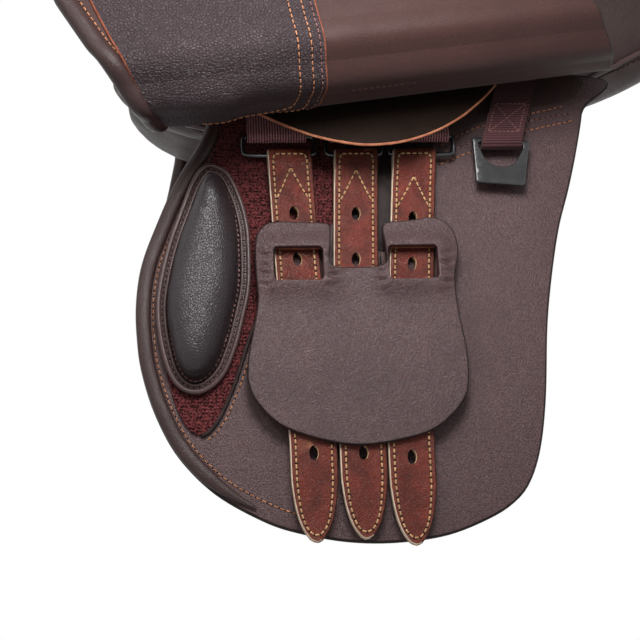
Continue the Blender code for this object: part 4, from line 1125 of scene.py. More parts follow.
# %% Strap pattern
STRAP_HALF = 0.0124
STRAP_TOP = 0.0416
STRAP_TIP = {"front": 0.2620, "middle": 0.2610, "rear": 0.2650}
STRAP_LINES = {
    "front": mm([(36, -60.6), (110, -57.8), (210, -53.2), (270, -53.2)]),
    "middle": mm([(36, -22.2), (110, -25.8), (210, -27.0), (270, -27.4)]),
    "rear": mm([(36, 11.2), (110, 5.2), (210, -1.4), (270, -1.8)]),
}
FIRST_HOLE = {"front": 0.0806, "middle": 0.0812, "rear": 0.0841}
HOLE_COUNT = 6
HOLE_PITCH = 0.0269
HOLE_HALF_WIDE = 0.0023
HOLE_HALF_LONG = 0.0038
EYE_V = [0.0415, 0.0424, 0.0441, 0.0465, 0.0520, 0.0575, 0.0635]
EYE_BACK = [0.0092, 0.0073, 0.0061, 0.0059, 0.0066, 0.0076, 0.0080]
EYE_FRONT = [0.0106, 0.0125, 0.0136, 0.0139, 0.0135, 0.0128, 0.0118]
PEAK = mm([(-8.6, 73.0), (-7.0, 70.0), (0, 55.5), (7.0, 70.0), (8.6, 73.0)])
PEAK_DROP = {"front": -0.0015, "middle": 0.0, "rear": 0.0040}
BORDER_IN = 0.0030
FACES_REAR = 0.25


def centre(key, v):
    line = STRAP_LINES[key]
    return float(np.interp(v, [p[0] for p in line], [p[1] for p in line]))


def strap_loop(tip, shrink=0.0):
    """Closed outline across and along a strap, square at its eye and pointed below."""
    h = STRAP_HALF - shrink
    top = STRAP_TOP + shrink * 1.45
    side = [
        (h, top + 0.0012), (h, 0.110), (h, 0.170), (h, tip - 0.040),
        (h * 0.96, tip - 0.028), (h * 0.82, tip - 0.0165),
        (h * 0.58, tip - 0.0075 - shrink * 0.4), (h * 0.26, tip - 0.0014 - shrink)]
    right = smooth(side, steps=8)
    foot = [Vector((0.0, tip - shrink * 1.15))]
    left = [Vector((-p[0], p[1])) for p in reversed(right)]
    return [Vector((-h + 0.0010, top)), Vector((h - 0.0010, top))] + right + foot + left


def strap_heights(c, v):
    """Back and front of a strap, which bulges where its eye folds round the ring."""
    return float(np.interp(v, EYE_V, EYE_BACK)), float(np.interp(v, EYE_V, EYE_FRONT))


def punched(mid):
    """Outline of one long hole round its middle."""
    turns = np.linspace(0, 2 * math.pi, 18, endpoint=False)
    return [Vector((HOLE_HALF_WIDE * math.cos(t), mid + HOLE_HALF_LONG * math.sin(t))) for t in turns]


print("strap outline:", len(strap_loop(STRAP_TIP["front"])), "points")


# %% Make the straps
def strap(prefix, side, key):
    def lift(c, v, w):
        return place(side, centre(key, v) + c, v, w)

    def laid(path, step):
        return [lift(p[0], p[1], strap_heights(p[0], p[1])[1]) for p in even(path, step)]
    holes = [punched(FIRST_HOLE[key] + HOLE_PITCH * n) for n in range(HOLE_COUNT)]
    bm = bmesh.new()
    tip = STRAP_TIP[key]
    slab(bm, even(strap_loop(tip), 0.0024, closed=True), lift, strap_heights, holes,
         edge=0.0007, grid=0.0055, hole_mat=3, hole_edge=0.0002)
    bmesh.ops.recalc_face_normals(bm, faces=bm.faces[:])
    # Painted shade: cut-edge faces that look to the rear, and hole walls that do not look forward, take the
    # dark materials.
    for face in bm.faces:
        if face.material_index == 1 and face.normal.x > FACES_REAR:
            face.material_index = 6
        elif face.material_index == 3 and face.normal.x > -FACES_REAR:
            face.material_index = 5
    out = outward(side)
    border = strap_loop(tip, BORDER_IN)
    stitches(bm, laid(border + border[:1], 0.0011), out, index=4, pitch=0.0033, half=0.00050)
    peak = [p + Vector((0.0, PEAK_DROP[key])) for p in PEAK]
    for row in (peak[:3], peak[2:]):
        stitches(bm, laid(row, 0.001), out, index=4, half=0.00048)
    mats = [STRAP_SKIN, RAW_CREAM, FLESH_SIDE, RAW_TAN, THREAD_CREAM, HOLE_SHADE, STRAP_EDGE_SHADE]
    name = prefix + key + "_billet"
    finish_piece(name + "_leather", bm, mats, BODY[name], [name])


for PREFIX, SIDE in SIDES.items():
    for KEY in STRAP_TIP:
        strap(PREFIX, SIDE, KEY)
print("girth straps made")

# %% [markdown]
# ## Buckle guards
# The guard is a soft plate that slides on the outer straps and keeps buckles off the
# flap. The straps pass through two slots, and the leather around a slot stands up and
# wrinkles from years of pushing. A strip behind each slot keeps the strap in.

# %% Guard pattern
GUARD = smooth(mm([
    (-81.2, 101.6), (-79.5, 93.1), (-73, 87.2), (-60, 86.8), (-47, 87.4), (-39.8, 89), (-39.8, 100),
    (-39.7, 112.5), (-25.3, 113.5), (-10.6, 112.5), (-10.4, 100), (-10, 88.5), (3.5, 86.8), (18.5, 85),
    (27, 90), (30.3, 98), (30.6, 107.6), (28.1, 117.3), (27.8, 127.6), (28.9, 141.7), (31.3, 158.6),
    (31.5, 175.2), (28.1, 188.9), (12.2, 203.9), (-9.8, 210.4), (-31.3, 212.1), (-52.2, 207.9),
    (-70.2, 200.6), (-81.1, 189.7), (-86.4, 178.9), (-86.6, 165.3), (-82.8, 146.3), (-80.4, 132.5),
    (-80.9, 121.3), (-81.4, 110.1)]), closed=True, steps=4)
GUARD_BACK = 0.0124
GUARD_FRONT = 0.0154
SLOTS = {"front": (-0.0712, -0.0444), "rear": (-0.0085, 0.0186)}
SLOT_TOP, SLOT_FOOT = 0.1025, 0.1215
SLOT_CORNER = 0.0016
MOUND_RISE, MOUND_REACH = 0.0034, 0.0080
WRINKLE_RISE, WRINKLE_AT, WRINKLE_REACH = 0.0011, 0.0044, 0.0034
LIP_HALF = 0.0006
KEEPER_TOP, KEEPER_FOOT = 0.1047, 0.1193
KEEPER_OUT, KEEPER_IN = 0.0029, 0.0004
KEEPER_LOW, KEEPER_MID, KEEPER_HIGH = 0.0052, 0.0074, 0.0130
print("guard outline:", len(GUARD), "points")


# %% Slots, raised leather and keepers
def slot_loop(u0, u1):
    r = SLOT_CORNER
    middles = [
        (u1 - r, SLOT_TOP + r, -90), (u1 - r, SLOT_FOOT - r, 0),
        (u0 + r, SLOT_FOOT - r, 90), (u0 + r, SLOT_TOP + r, 180)]
    corners = []
    for x, y, t in middles:
        for n in range(4):
            a = math.radians(t + 30 * n)
            corners.append((x + r * math.cos(a), y + r * math.sin(a)))
    return even(corners, 0.002, closed=True)


def guard_heights(a, b):
    """Back and front of the guard; the leather stands up round the slots."""
    rise = 0.0
    for u0, u1 in SLOTS.values():
        dx = max(u0 - a, a - u1, 0.0)
        dy = max(SLOT_TOP - b, b - SLOT_FOOT, 0.0)
        d = math.hypot(dx, dy)
        rise += MOUND_RISE * math.exp(-(d / MOUND_REACH) ** 2)
        if dx > 0 and SLOT_TOP < b < SLOT_FOOT + 0.004:
            wave = 0.8 * math.sin(b * 1150 + a * 320 + math.sin(a * 700))
            wave += 0.4 * math.sin(b * 1750 - a * 420)
            rise += WRINKLE_RISE * wave * math.exp(-((d - WRINKLE_AT) / WRINKLE_REACH) ** 2)
    return GUARD_BACK, GUARD_FRONT + rise


def keeper_shape(u0, u1):
    """Section of the strip behind a slot, open toward the guard."""
    out0, out1 = u0 - KEEPER_OUT, u1 + KEEPER_OUT
    in0, in1 = u0 - KEEPER_IN, u1 + KEEPER_IN
    return [
        (out0, KEEPER_HIGH), (out0, KEEPER_LOW), (out1, KEEPER_LOW), (out1, KEEPER_HIGH),
        (in1, KEEPER_HIGH), (in1, KEEPER_MID), (in0, KEEPER_MID), (in0, KEEPER_HIGH)]


print("guard below its slots, back and front:", [round(x, 4) for x in guard_heights(-0.025, 0.150)])


# %% Make the guards
def buckle_guard(prefix, side):
    bm = bmesh.new()
    holes = [slot_loop(*slot) for slot in SLOTS.values()]
    slab(bm, even(GUARD, 0.0025, closed=True), partial(place, side), guard_heights, holes,
         edge=0.0008, grid=0.0015, hole_mat=0, hole_edge=0.0007)
    out = outward(side)
    for u0, u1 in SLOTS.values():
        across = np.linspace(u0 + 0.0008, u1 - 0.0008, 9)
        lip = [place(side, u, SLOT_TOP + 0.0002, GUARD_FRONT - 0.0001) for u in across]
        tube(bm, lip, LIP_HALF, sides=8, out=out, index=3)
        keeper = keeper_shape(u0, u1)
        rings = [[place(side, u, v, w) for u, w in keeper] for v in (KEEPER_TOP, KEEPER_FOOT)]
        skin(bm, rings, index=2)
    mats = [GUARD_SKIN, DYED_EDGE_AND_SHADE, FLESH_SIDE, RAW_RED]
    name = prefix + "buckle_guard"
    finish_piece(name + "_leather", bm, mats, BODY[name], [name])


for PREFIX, SIDE in SIDES.items():
    buckle_guard(PREFIX, SIDE)
print("buckle guards made")

# %% [markdown]
# ## The fold of the flap
# A flap is one piece of leather that can be turned up. The solids have three links
# between a fixed top and the free part. Here the leather is drawn flat, with t along
# the hinge line and s below it, and then rolled over the links in four smooth bends,
# as leather would. Each stretch between two links is blended.

# %% Flap frame
FOLD_V = 0.0075
FOLD_W = 0.0245
FOLD_TILT = 0.176
FOLD_YAW = 0.090
FLAP_THICK = 0.0045
LINK = 0.024
TOP_TURN = 17.0
TURNS = {"near_": (TOP_TURN, 46.25, 92.5, 138.75, 185.0), "off_": (TOP_TURN, 0.0, 0.0, 0.0, 0.0)}


def fold_frame(side):
    start = place(side, 0.0, FOLD_V, FOLD_W)
    axis = (place(side, 1.0, FOLD_V - FOLD_TILT, FOLD_W - FOLD_YAW) - start).normalized()
    down = place(side, 0.0, FOLD_V + 1.0, FOLD_W) - start
    down = (down - axis * down.dot(axis)).normalized()
    out = axis.cross(down)
    return start, axis, down, -out if out.y * side < 0 else out


FOLDS = {prefix: fold_frame(side) for prefix, side in SIDES.items()}


def turned(prefix, degrees):
    """Hanging direction and grain-side direction of the leather at an angle."""
    _, _, down, out = FOLDS[prefix]
    c, s = math.cos(math.radians(degrees)), math.sin(math.radians(degrees))
    return down * c + out * s, out * c - down * s


print("hinge line of the near flap:", [round(x, 3) for x in FOLDS["near_"][1]])


# %% Places on the bent flap
def flap_point(prefix, t, s, e):
    """Place of a flat point: above the links, on the bend of one hinge, or below them."""
    start, axis = FOLDS[prefix][:2]
    turns = TURNS[prefix]
    k = min(int((s + LINK / 2) // LINK), 4) if s > -LINK / 2 else -1
    for n in range(1, min(k, 3) + 1):
        start = start + turned(prefix, turns[n])[0] * LINK
    if k < 0:
        angle, rest = turns[0], s
    elif k > 3:
        angle, rest = turns[4], s - 3 * LINK
    else:
        rest = s - k * LINK
        share = eased(share_of(rest, -LINK / 2, LINK / 2))
        angle = turns[k] + (turns[k + 1] - turns[k]) * share
    run, grain = turned(prefix, angle)
    return start + axis * t + run * rest + grain * e


def fold_coords(u, v):
    """Lowered flap position (u, v) as t along and s below the hinge line."""
    axis = Vector((1.0, -FOLD_TILT, -FOLD_YAW)).normalized()
    down = Vector((0.0, 1.0, 0.0))
    down = (down - axis * down.dot(axis)).normalized()
    here = Vector((u, v - FOLD_V, -FOLD_YAW * u))
    return Vector((here.dot(axis), here.dot(down)))


print("foot of the near flap:", [round(x, 3) for x in flap_point("near_", 0.0, 0.28, 0.0)])

# %% Flap outline
FLAP_FRONT = [
    (-118, -10), (-126, 12), (-129.5, 35), (-135, 60), (-142.5, 90), (-151, 120), (-157, 150),
    (-158, 175), (-153, 200), (-140, 224), (-118, 246), (-88, 262.5)]
FLAP_FOOT = [(-50, 273.5), (-10, 276.5), (30, 271)]
FLAP_REAR = [
    (62, 258), (82, 238), (92, 210), (96.5, 180), (100, 140), (106, 100), (114, 60), (122, 20),
    (127, -20), (129, -40)]
FLAP_ROUND = FLAP_FRONT + FLAP_FOOT + FLAP_REAR
FLAP_OUTLINE = smooth([fold_coords(u / 1000, v / 1000) for u, v in FLAP_ROUND])
print("flap pattern:", len(FLAP_OUTLINE), "points")


# %% Bend a flat piece over the links
HAIR = 1e-9


def bend_over(prefix, bm, name, mats):
    """Cuts a flat piece at the links, rolls each part over and hangs only the free part on the flap's body.
    """
    bends = [prefix + "flap_bend_%d" % n for n in (1, 2, 3)]
    links = ["saddle"] + [bend + "_body" for bend in bends] + [prefix + "flap_body"]
    nodes = [[bend] for bend in bends] + [[], [prefix + "flap"]]
    for k in range(5):
        low, high = (k - 0.5) * LINK, (k + 0.5) * LINK
        free = k == 4
        part = bm.copy()
        for at, way in ((low, -1.0),) if free else ((low, -1.0), (high, 1.0)):
            every = part.verts[:] + part.edges[:] + part.faces[:]
            bmesh.ops.bisect_plane(part, geom=every, dist=1e-7, plane_co=(0, at, 0),
                                   plane_no=(0, way, 0), clear_outer=True)
        for vert in part.verts:
            t, s, e = vert.co
            vert.co = flap_point(prefix, t, s if free else min(max(s, low + HAIR), high - HAIR), e)
        body = links[4] if free else None
        obj = finish_piece(name + "_%d" % k, part, mats, body, nodes[k], weld=0)
        if not free:
            start = flap_point(prefix, 0.0, low, 0.0)
            end = flap_point(prefix, 0.0, high - HAIR, 0.0)
            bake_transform(obj)
    bm.free()


def border_distance(loop):
    border = np.array([p[:2] for p in even(loop, 0.003, closed=True)])
    return lambda a, b: float(np.min(np.hypot(border[:, 0] - a, border[:, 1] - b)))


def flap_edge(points, s):
    """t of a flap edge at depth s."""
    rows = sorted((fold_coords(u / 1000, v / 1000) for u, v in points), key=lambda p: p[1])
    return float(np.interp(s, [p[1] for p in rows], [p[0] for p in rows]))


print("flap at 100 mm below the hinge line:", round(flap_edge(FLAP_FRONT, 0.1), 3), "to",
      round(flap_edge(FLAP_REAR, 0.1), 3))

# %% Flap patterns: roll, grained patch and stitch rows
FRONT_DEPTHS = np.arange(-0.012, 0.205, 0.004)
FRONT_EDGE = [Vector((flap_edge(FLAP_FRONT, s), s)) for s in FRONT_DEPTHS]
FOOT_START = [p for p in FLAP_OUTLINE if p[1] > 0.205 and p[0] < -0.045]
ROLL_LINE = even(FRONT_EDGE + FOOT_START, 0.004)
PATCH = smooth(mm([
    (-51, 190), (-50.5, 130), (-50.5, 90), (-50.5, 60), (-50, 40), (-51.5, 28), (-57, 19), (-68, 14),
    (-90, 11), (-112, 12), (-128, 17), (-137, 29), (-143, 42), (-149, 56), (-155, 72), (-161, 92),
    (-168, 122), (-171, 150), (-168, 178), (-156, 205), (-138, 224), (-112, 236), (-86, 238),
    (-64, 224)]), closed=True)
PATCH_DEPTH = border_distance(PATCH)
PATCH_BACK = 0.00005
PATCH_EDGE, PATCH_SWELL, SWELL_WIDE = 0.0012, 0.0022, 0.026
PATCH_THIN = 0.0005
THIN_ABOVE, FULL_BELOW = 0.044, 0.060
THIN_BEHIND, FULL_BEFORE = -0.090, -0.105
# Distance in from the patch's edge, and the thread's material.
PATCH_ROWS = [(0.0030, 8), (0.0078, 6), (0.0150, 6)]
BEAD_HALF = 0.0052
BEAD_SHIFT, BEAD_DEPTH = 0.0022, 0.0014
BORDER_ROW_IN = 0.0045
KNEE_ROW = smooth(mm([(-62, -11), (-58, 40), (-60, 90), (-68, 140), (-84, 190), (-106, 226), (-126, 238)]))
LOW_ROW = [Vector((t, 0.0385, 0.0)) for t in np.linspace(-0.036, 0.001, 24)]


def patch_top(a, b):
    """The soft patch rises from its edge to its middle, and is thin over the web guard."""
    full = PATCH_EDGE + PATCH_SWELL * eased(min(PATCH_DEPTH(a, b) / SWELL_WIDE, 1.0))
    clear = max(share_of(b, THIN_ABOVE, FULL_BELOW), share_of(a, THIN_BEHIND, FULL_BEFORE))
    return PATCH_THIN + (full - PATCH_THIN) * eased(clear)


def patch_rows(bm):
    """Three rows follow the patch's rear edge and the edge next to the fold."""
    for depth, index in PATCH_ROWS:
        def seen(p):
            return p[0] > -0.055 - depth * 1.6 or (p[1] < 0.034 and p[0] > -0.118)
        keep = part_of(inset(PATCH, depth), seen)
        path = [Vector((p[0], p[1], -patch_top(p[0], p[1]))) for p in keep if p[1] < 0.215]
        stitches(bm, path, DOWN, index=index)


def bead_girth(f):
    """Half width of the rolled front edge, tapered at its lower end."""
    return BEAD_HALF * min(1.0, 0.25 + 7.0 * (1.0 - f))


print("soft patch is up to", PATCH_EDGE + PATCH_SWELL, "m thick")


# %% Make the flaps
def on_grain(points, shift=0.0):
    """Flat points moved to the outer face of the flap."""
    return [Vector((p[0] + shift, p[1], FLAP_THICK)) for p in points]


def flap(prefix):
    bm = bmesh.new()
    slab(bm, even(FLAP_OUTLINE, 0.004, closed=True), lambda a, b, w: Vector((a, b, w)),
         between(0.0, FLAP_THICK), edge=0.0012, grid=0.0052)
    slab(bm, even(PATCH, 0.0034, closed=True), lambda a, b, w: Vector((a, b, -w)),
         lambda a, b: (PATCH_BACK, patch_top(a, b)), edge=0.0009, grid=0.0050, mats=(3, 4, 3))
    line = [Vector((p[0] + BEAD_SHIFT, p[1], BEAD_DEPTH)) for p in ROLL_LINE]
    tube(bm, line, bead_girth, sides=14, squash=0.92, out=DOWN, index=5)
    row = [Vector((p[0] + 0.0089, p[1] * 0.985, 0.0)) for p in ROLL_LINE[:-6]]
    stitches(bm, row, DOWN, index=6)
    stitches(bm, on_grain(row), UP, index=6)
    patch_rows(bm)
    border = part_of(inset(FLAP_OUTLINE, BORDER_ROW_IN), lambda p: p[0] > -0.10 and p[1] > -0.010)
    stitches(bm, on_grain(border), UP, index=6)
    for shift in (0.0, 0.0045):
        stitches(bm, on_grain(KNEE_ROW, shift), UP, index=6)
    stitches(bm, LOW_ROW, DOWN, index=8)
    mats = [FLAP_GRAIN, DYED_EDGE_AND_SHADE, FLESH_SIDE, SOFT_GRAIN, RAW_RED, ROLL_SKIN,
            THREAD_ORANGE, HOLE_SHADE, THREAD_PINK, HOLE_SHADE]
    bend_over(prefix, bm, prefix + "flap_leather", mats)


for PREFIX in SIDES:
    flap(PREFIX)
print("flaps bent over their links")

# %% [markdown]
# ## Web guards
# A crescent of stout leather hangs over the webs, so that the flap slides on leather
# and not on rings. Its thick raw edge shows as a light line, and its dark faces are
# painted almost black as the shade under the raised flap. It is a slab in the same
# flat coordinates as the flap, a little behind it.

# %% Make the web guards
CRESCENT = smooth(mm([
    (-88, 0.8), (-78, 12), (-57, 28.6), (-35, 39), (-19, 42), (-3, 41.5), (15, 37), (34, 28),
    (55, 12.6), (65, 0.8)]))
WEB_GUARD_TURN = {"near_": TOP_TURN, "off_": 0.0}
WEB_GUARD_GAP = {"near_": 0.0012, "off_": 0.0004}
WEB_GUARD_DEPTH = 0.0029


def web_guard(prefix):
    start, axis = FOLDS[prefix][:2]
    run, grain = turned(prefix, WEB_GUARD_TURN[prefix])

    def lift(a, b, w):
        return start + axis * a + run * b - grain * w
    bm = bmesh.new()
    heights = between(WEB_GUARD_GAP[prefix], WEB_GUARD_DEPTH)
    slab(bm, even(CRESCENT, 0.003, closed=True), lift, heights, edge=0.0009, grid=0.008)
    name = prefix + "web_guard"
    # Both faces of the web guard carry painted shade.
    mats = [WEB_GUARD_LEATHER_AND_SHADE, RAW_ORANGE, WEB_GUARD_LEATHER_AND_SHADE]
    finish_piece(name + "_leather", bm, mats, BODY[name], [name])


for PREFIX in SIDES:
    web_guard(PREFIX)
print("web guards made")

# %% [markdown]
# ## Pieces that keep the frame's own mesh
# Webs, rings, tree, plate and stirrup bars already have their true shape in the frame.
# A copy is welded, its triangles become quads again, and it gets rounded edges or a
# subdivision surface. The foam's foot and the ends of the tree are covered with leather
# on a finished saddle, so those faces get a second material.


# %% Copy and round a solid
def copy_of(name):
    bm = bmesh.new()
    bm.from_mesh(NODES[name].data)
    bmesh.ops.remove_doubles(bm, verts=bm.verts[:], dist=WELD)
    bmesh.ops.recalc_face_normals(bm, faces=bm.faces[:])
    bmesh.ops.join_triangles(bm, faces=bm.faces[:], angle_face_threshold=0.6, angle_shape_threshold=0.9)
    return bm


def dressed(name, mat, bevel=0.0, levels=0, lining=None, lined=None):
    """A solid with its edges rounded; lined(centre, normal) picks faces that are lined."""
    bm = copy_of(name)
    for face in bm.faces:
        if lined and lined(face.calc_center_median(), face.normal):
            face.material_index = 1
    mats = [mat, lining] if lining else [mat]
    obj = finish_piece(name + "_dressed", bm, mats, None, [name], weld=0)
    obj.modifiers.clear()
    if bevel:
        rounder = obj.modifiers.new("rounded_edges", "BEVEL")
        rounder.width = bevel
        rounder.segments = 3
        rounder.limit_method = "ANGLE"
        rounder.angle_limit = math.radians(32)
        rounder.use_clamp_overlap = True
    if levels:
        softened(obj, levels)
    even_light = obj.modifiers.new("flat_faces_stay_flat", "WEIGHTED_NORMAL")
    even_light.keep_sharp = True
    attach(obj, BODY[name])
    return obj


print("solids in the frame:", len(NODES))

# %% Faces that a finished saddle has covered
CANTLE_MIDDLE = 0.05
HEAD_FROM = -0.13
HEAD_TILT = -0.2
FOOT_TILT = 0.35


def tree_ends(spot, normal):
    behind = spot.x - CANTLE_MIDDLE
    rear = behind > 0.0 and normal.x * behind + normal.y * spot.y > 0.0
    return rear or (spot.x < HEAD_FROM and normal.x < HEAD_TILT)


def foam_foot(spot, normal):
    return normal.z < FOOT_TILT


print("a face that looks down is lined:", foam_foot(UP, DOWN))

# %% Dress webs, rings, tree and metal
for PREFIX, SIDE in SIDES.items():
    for KEY in STRAP_TIP:
        dressed(PREFIX + KEY + "_web", GIRTH_WEBS[SIDE], bevel=0.0005)
        dressed(PREFIX + KEY + "_ring", BLACK_METAL, levels=2)
    dressed(PREFIX + "spare_web", SPARE_WEBS[SIDE], bevel=0.0005)
    dressed(PREFIX + "stirrup_bar", STEEL, bevel=0.0007)
    dressed(PREFIX + "bar_catch", STEEL, bevel=0.0004)
dressed("tree", WOOD_TREE, bevel=0.0022, lining=FACING_SKIN, lined=tree_ends)
dressed("gullet_plate", BLACK_METAL, bevel=0.0006)
dressed("seat_webbing", SEAT_WEB, bevel=0.0004)
FOAM = dressed("seat_foam", FOAM_SKIN, levels=2, lining=FACING_SKIN, lined=foam_foot)
print("webs, rings, tree and metal dressed")

# %% [markdown]
# ## Spare rings
# The spare ring is stamped from plate, with a wide lower bar and a U-shaped mouth, and
# is finished black. Its outline and mouth are smooth curves here, where the solid has
# straight facets. The web above it is sewn with a box and a cross.

# %% Spare ring pattern
SPARE_TURN = math.radians(5.0)
SPARE_AT = (0.0605, 0.0385)
SPARE_W = 0.0120
SPARE_HALF = 0.0015
RING_OUT = smooth(mm([
    (-15.5, -1.5), (0, -1.5), (15.5, -1.5), (16.6, 0.2), (16.2, 5.0), (15.2, 13.0), (14.4, 22.0),
    (14.0, 25.0), (12.6, 26.2), (0, 26.2), (-12.6, 26.2), (-14.0, 25.0), (-14.4, 22.0),
    (-15.2, 13.0), (-16.2, 5.0), (-16.6, 0.2)]), closed=True)
RING_MOUTH = smooth(mm([
    (-12.0, 1.6), (0, 1.6), (12.0, 1.6), (12.6, 3.4), (11.4, 6.6), (8.4, 12.2), (4.4, 15.0),
    (0, 15.4), (-4.4, 15.0), (-8.4, 12.2), (-11.4, 6.6), (-12.6, 3.4)]), closed=True)
BOX_HALF = 0.0088
BOX_LOW, BOX_HIGH = -5, -24
BOX_LIFT = 0.0011
WEB_LEAN = 0.33
WEB_V = [0.006, 0.026, 0.034, 0.0385]
WEB_FACE = [0.0098, 0.0120, 0.0144, 0.0164]
print("spare ring outline:", len(RING_OUT), "points")


# %% Make the spare rings
def spare_place(side, a, b, w):
    c, s = math.cos(SPARE_TURN), math.sin(SPARE_TURN)
    return place(side, SPARE_AT[0] + a * c - b * s, SPARE_AT[1] + a * s + b * c, w)


def spare_ring(prefix, side):
    bm = bmesh.new()
    loop, mouth = even(RING_OUT, 0.0018, closed=True), even(RING_MOUTH, 0.0018, closed=True)
    heights = between(SPARE_W - SPARE_HALF, SPARE_W + SPARE_HALF)
    slab(bm, loop, partial(spare_place, side), heights, [mouth],
         edge=0.0009, grid=0.004, mats=(0, 0, 0), hole_mat=0)
    name = prefix + "spare_ring"
    finish_piece(name + "_plate", bm, [BLACK_METAL], BODY[name], [name])


def spare_box(prefix, side):
    """The box and cross that close the spare web round its ring."""
    right_low, right_high = (BOX_HALF, BOX_LOW), (BOX_HALF, BOX_HIGH)
    left_low, left_high = (-BOX_HALF, BOX_LOW), (-BOX_HALF, BOX_HIGH)
    box = [(left_low, right_low), (right_low, right_high), (right_high, left_high), (left_high, left_low)]
    cross = [(left_low, right_high), (right_low, left_high)]
    sewn = bmesh.new()
    for a, b in box + cross:
        path = []
        for f in np.linspace(0, 1, 12):
            x = a[0] + (b[0] - a[0]) * f
            y = (a[1] + (b[1] - a[1]) * f) / 1000.0
            v = SPARE_AT[1] + y
            w = float(np.interp(v, WEB_V, WEB_FACE)) + BOX_LIFT
            path.append(place(side, SPARE_AT[0] + x - WEB_LEAN * y, v, w))
        stitches(sewn, path, outward(side), pitch=0.0024, half=0.00034, holes=False)
    finish_piece(prefix + "spare_web_stitches", sewn, [THREAD_PINK], "saddle", ())


for PREFIX, SIDE in SIDES.items():
    spare_ring(PREFIX, SIDE)
    spare_box(PREFIX, SIDE)
print("spare rings made")

# %% [markdown]
# ## Panels
# The panels are long stuffed cushions that bear on the back. Each is lofted from a few
# sections, made slightly thin and then stuffed by simulation. The seams come after the
# stuffing: a bead along each long edge, laid on the skin by a nearest-point search.

# %% Loft and stuff the panels
# Each row: x, inner and outer y, lower face at both, upper face at both.
PANEL_ROWS = [
    (-0.165, 0.042, 0.100, 0.034, 0.014, 0.060, 0.042), (-0.140, 0.034, 0.130, 0.012, -0.010, 0.060, 0.034),
    (-0.090, 0.031, 0.1510, 0.002, -0.026, 0.056, 0.024), (0.000, 0.030, 0.1531, 0.000, -0.024, 0.052, 0.022),
    (0.080, 0.031, 0.1470, 0.002, -0.012, 0.056, 0.032), (0.140, 0.033, 0.128, 0.012, 0.006, 0.098, 0.090),
    (0.190, 0.036, 0.116, 0.034, 0.032, 0.1423, 0.1323), (0.226, 0.046, 0.090, 0.070, 0.070, 0.1643, 0.1563),
]
PANEL_SECTION = [Vector(p) for p in (
    (0.10, 0.06), (0.30, 0.0), (0.55, 0.0), (0.78, 0.02), (0.93, 0.10), (1.0, 0.34), (0.985, 0.62),
    (0.90, 0.90), (0.72, 1.0), (0.45, 1.02), (0.22, 1.0), (0.06, 0.88), (0.0, 0.60), (0.0, 0.28))]
PANEL_TIGHT = 0.0022


def rows_of(points, steps):
    """Smooth stations of any length, as plain tuples."""
    columns = [smooth([(row[0], row[k]) for row in points], steps=steps) for k in range(1, len(points[0]))]
    return [(columns[0][i][0], *(column[i][1] for column in columns)) for i in range(len(columns[0]))]


def across_panel(row, f, h):
    """Distance from the middle and height of a point, by its shares across and up."""
    _, y0, y1, b0, b1, t0, t1 = row
    low, high = b0 + (b1 - b0) * f, t0 + (t1 - t0) * f
    return y0 + (y1 - y0) * f, low + (high - low) * h


def panel_ring(row, tight):
    section = smooth(PANEL_SECTION, closed=True, steps=2)
    points = [Vector(across_panel(row, f, h)) for f, h in section]
    return [Vector((row[0], -p[0], p[1])) for p in inset(points, tight)]


def panel_shape():
    bm = bmesh.new()
    rings = [panel_ring(row, PANEL_TIGHT) for row in rows_of(PANEL_ROWS, 6)]
    for ring, shift in ((rings[0], PANEL_TIGHT), (rings[-1], -PANEL_TIGHT)):
        for p in ring:
            p.x += shift
    skin(bm, rings)
    return stuffed(bm, voxel=0.0058, pressure=4.0, cap=0.0034)


PANEL_POINTS, PANEL_FACES = panel_shape()
print("panel skin:", len(PANEL_POINTS), "points")


# %% Seam beads on the panels
PANEL_GRAIN = leather(
    "panel_leather", (0.044, 0.025, 0.023), (0.11, 0.06, 0.05),
    pebble=0.0011, crease=0.6, depth=0.00012, rough=(0.36, 0.55))
# Each seam: its shares across and up, and the half width of its bead.
PANEL_SEAMS = [(1.0, 0.20, 0.0017), (0.02, 0.36, 0.0015), (0.90, 0.92, 0.0014)]
BEAD_LIFT = 0.0006
ROW_BELOW = Vector((0.0, 0.0, -0.0055))


def on_skin(tree, points, lift):
    """Nearest points of a skin, lifted off it."""
    made = []
    for p in points:
        spot, normal, _, _ = tree.find_nearest(p)
        made.append(spot + normal * lift)
    return made


def panel(prefix, side):
    bm = skin_from(PANEL_POINTS, PANEL_FACES, side > 0)
    bmesh.ops.recalc_face_normals(bm, faces=bm.faces[:])
    skin_tree = BVHTree.FromBMesh(bm)
    name = prefix + "panel"
    obj = finish_piece(name + "_cushion", bm, [PANEL_GRAIN], None, [name], weld=0)
    softened(obj, 1, 0.3)
    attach(obj, "saddle")
    seams = bmesh.new()
    rows = rows_of(PANEL_ROWS, 10)[3:-3]
    for f, h, radius in PANEL_SEAMS:
        path = []
        for row in rows:
            y, z = across_panel(row, f, h)
            path.append(Vector((row[0], side * y, z)))
        path = even(path, 0.005)
        tube(seams, on_skin(skin_tree, path, BEAD_LIFT), radius, sides=8)
        stitched = on_skin(skin_tree, [p + ROW_BELOW for p in path], 0.0001)
        stitches(seams, stitched, lambda p: skin_tree.find_nearest(p)[1], index=1, pitch=0.004)
    mats = [PIPING_SKIN, THREAD_DARK, HOLE_SHADE]
    finish_piece(name + "_seams", seams, mats, "saddle", (), weld=0)


for PREFIX, SIDE in SIDES.items():
    panel(PREFIX, SIDE)
print("panels stuffed and seamed")

# %% [markdown]
# ## The seat
# The seat cover is drawn over foam, dips between pommel and cantle, and turns down at
# its edge. It is lofted from stations with the same rule as the solid, on a finer
# mesh. Welts mark where the seat piece meets its side pieces and where it ends.

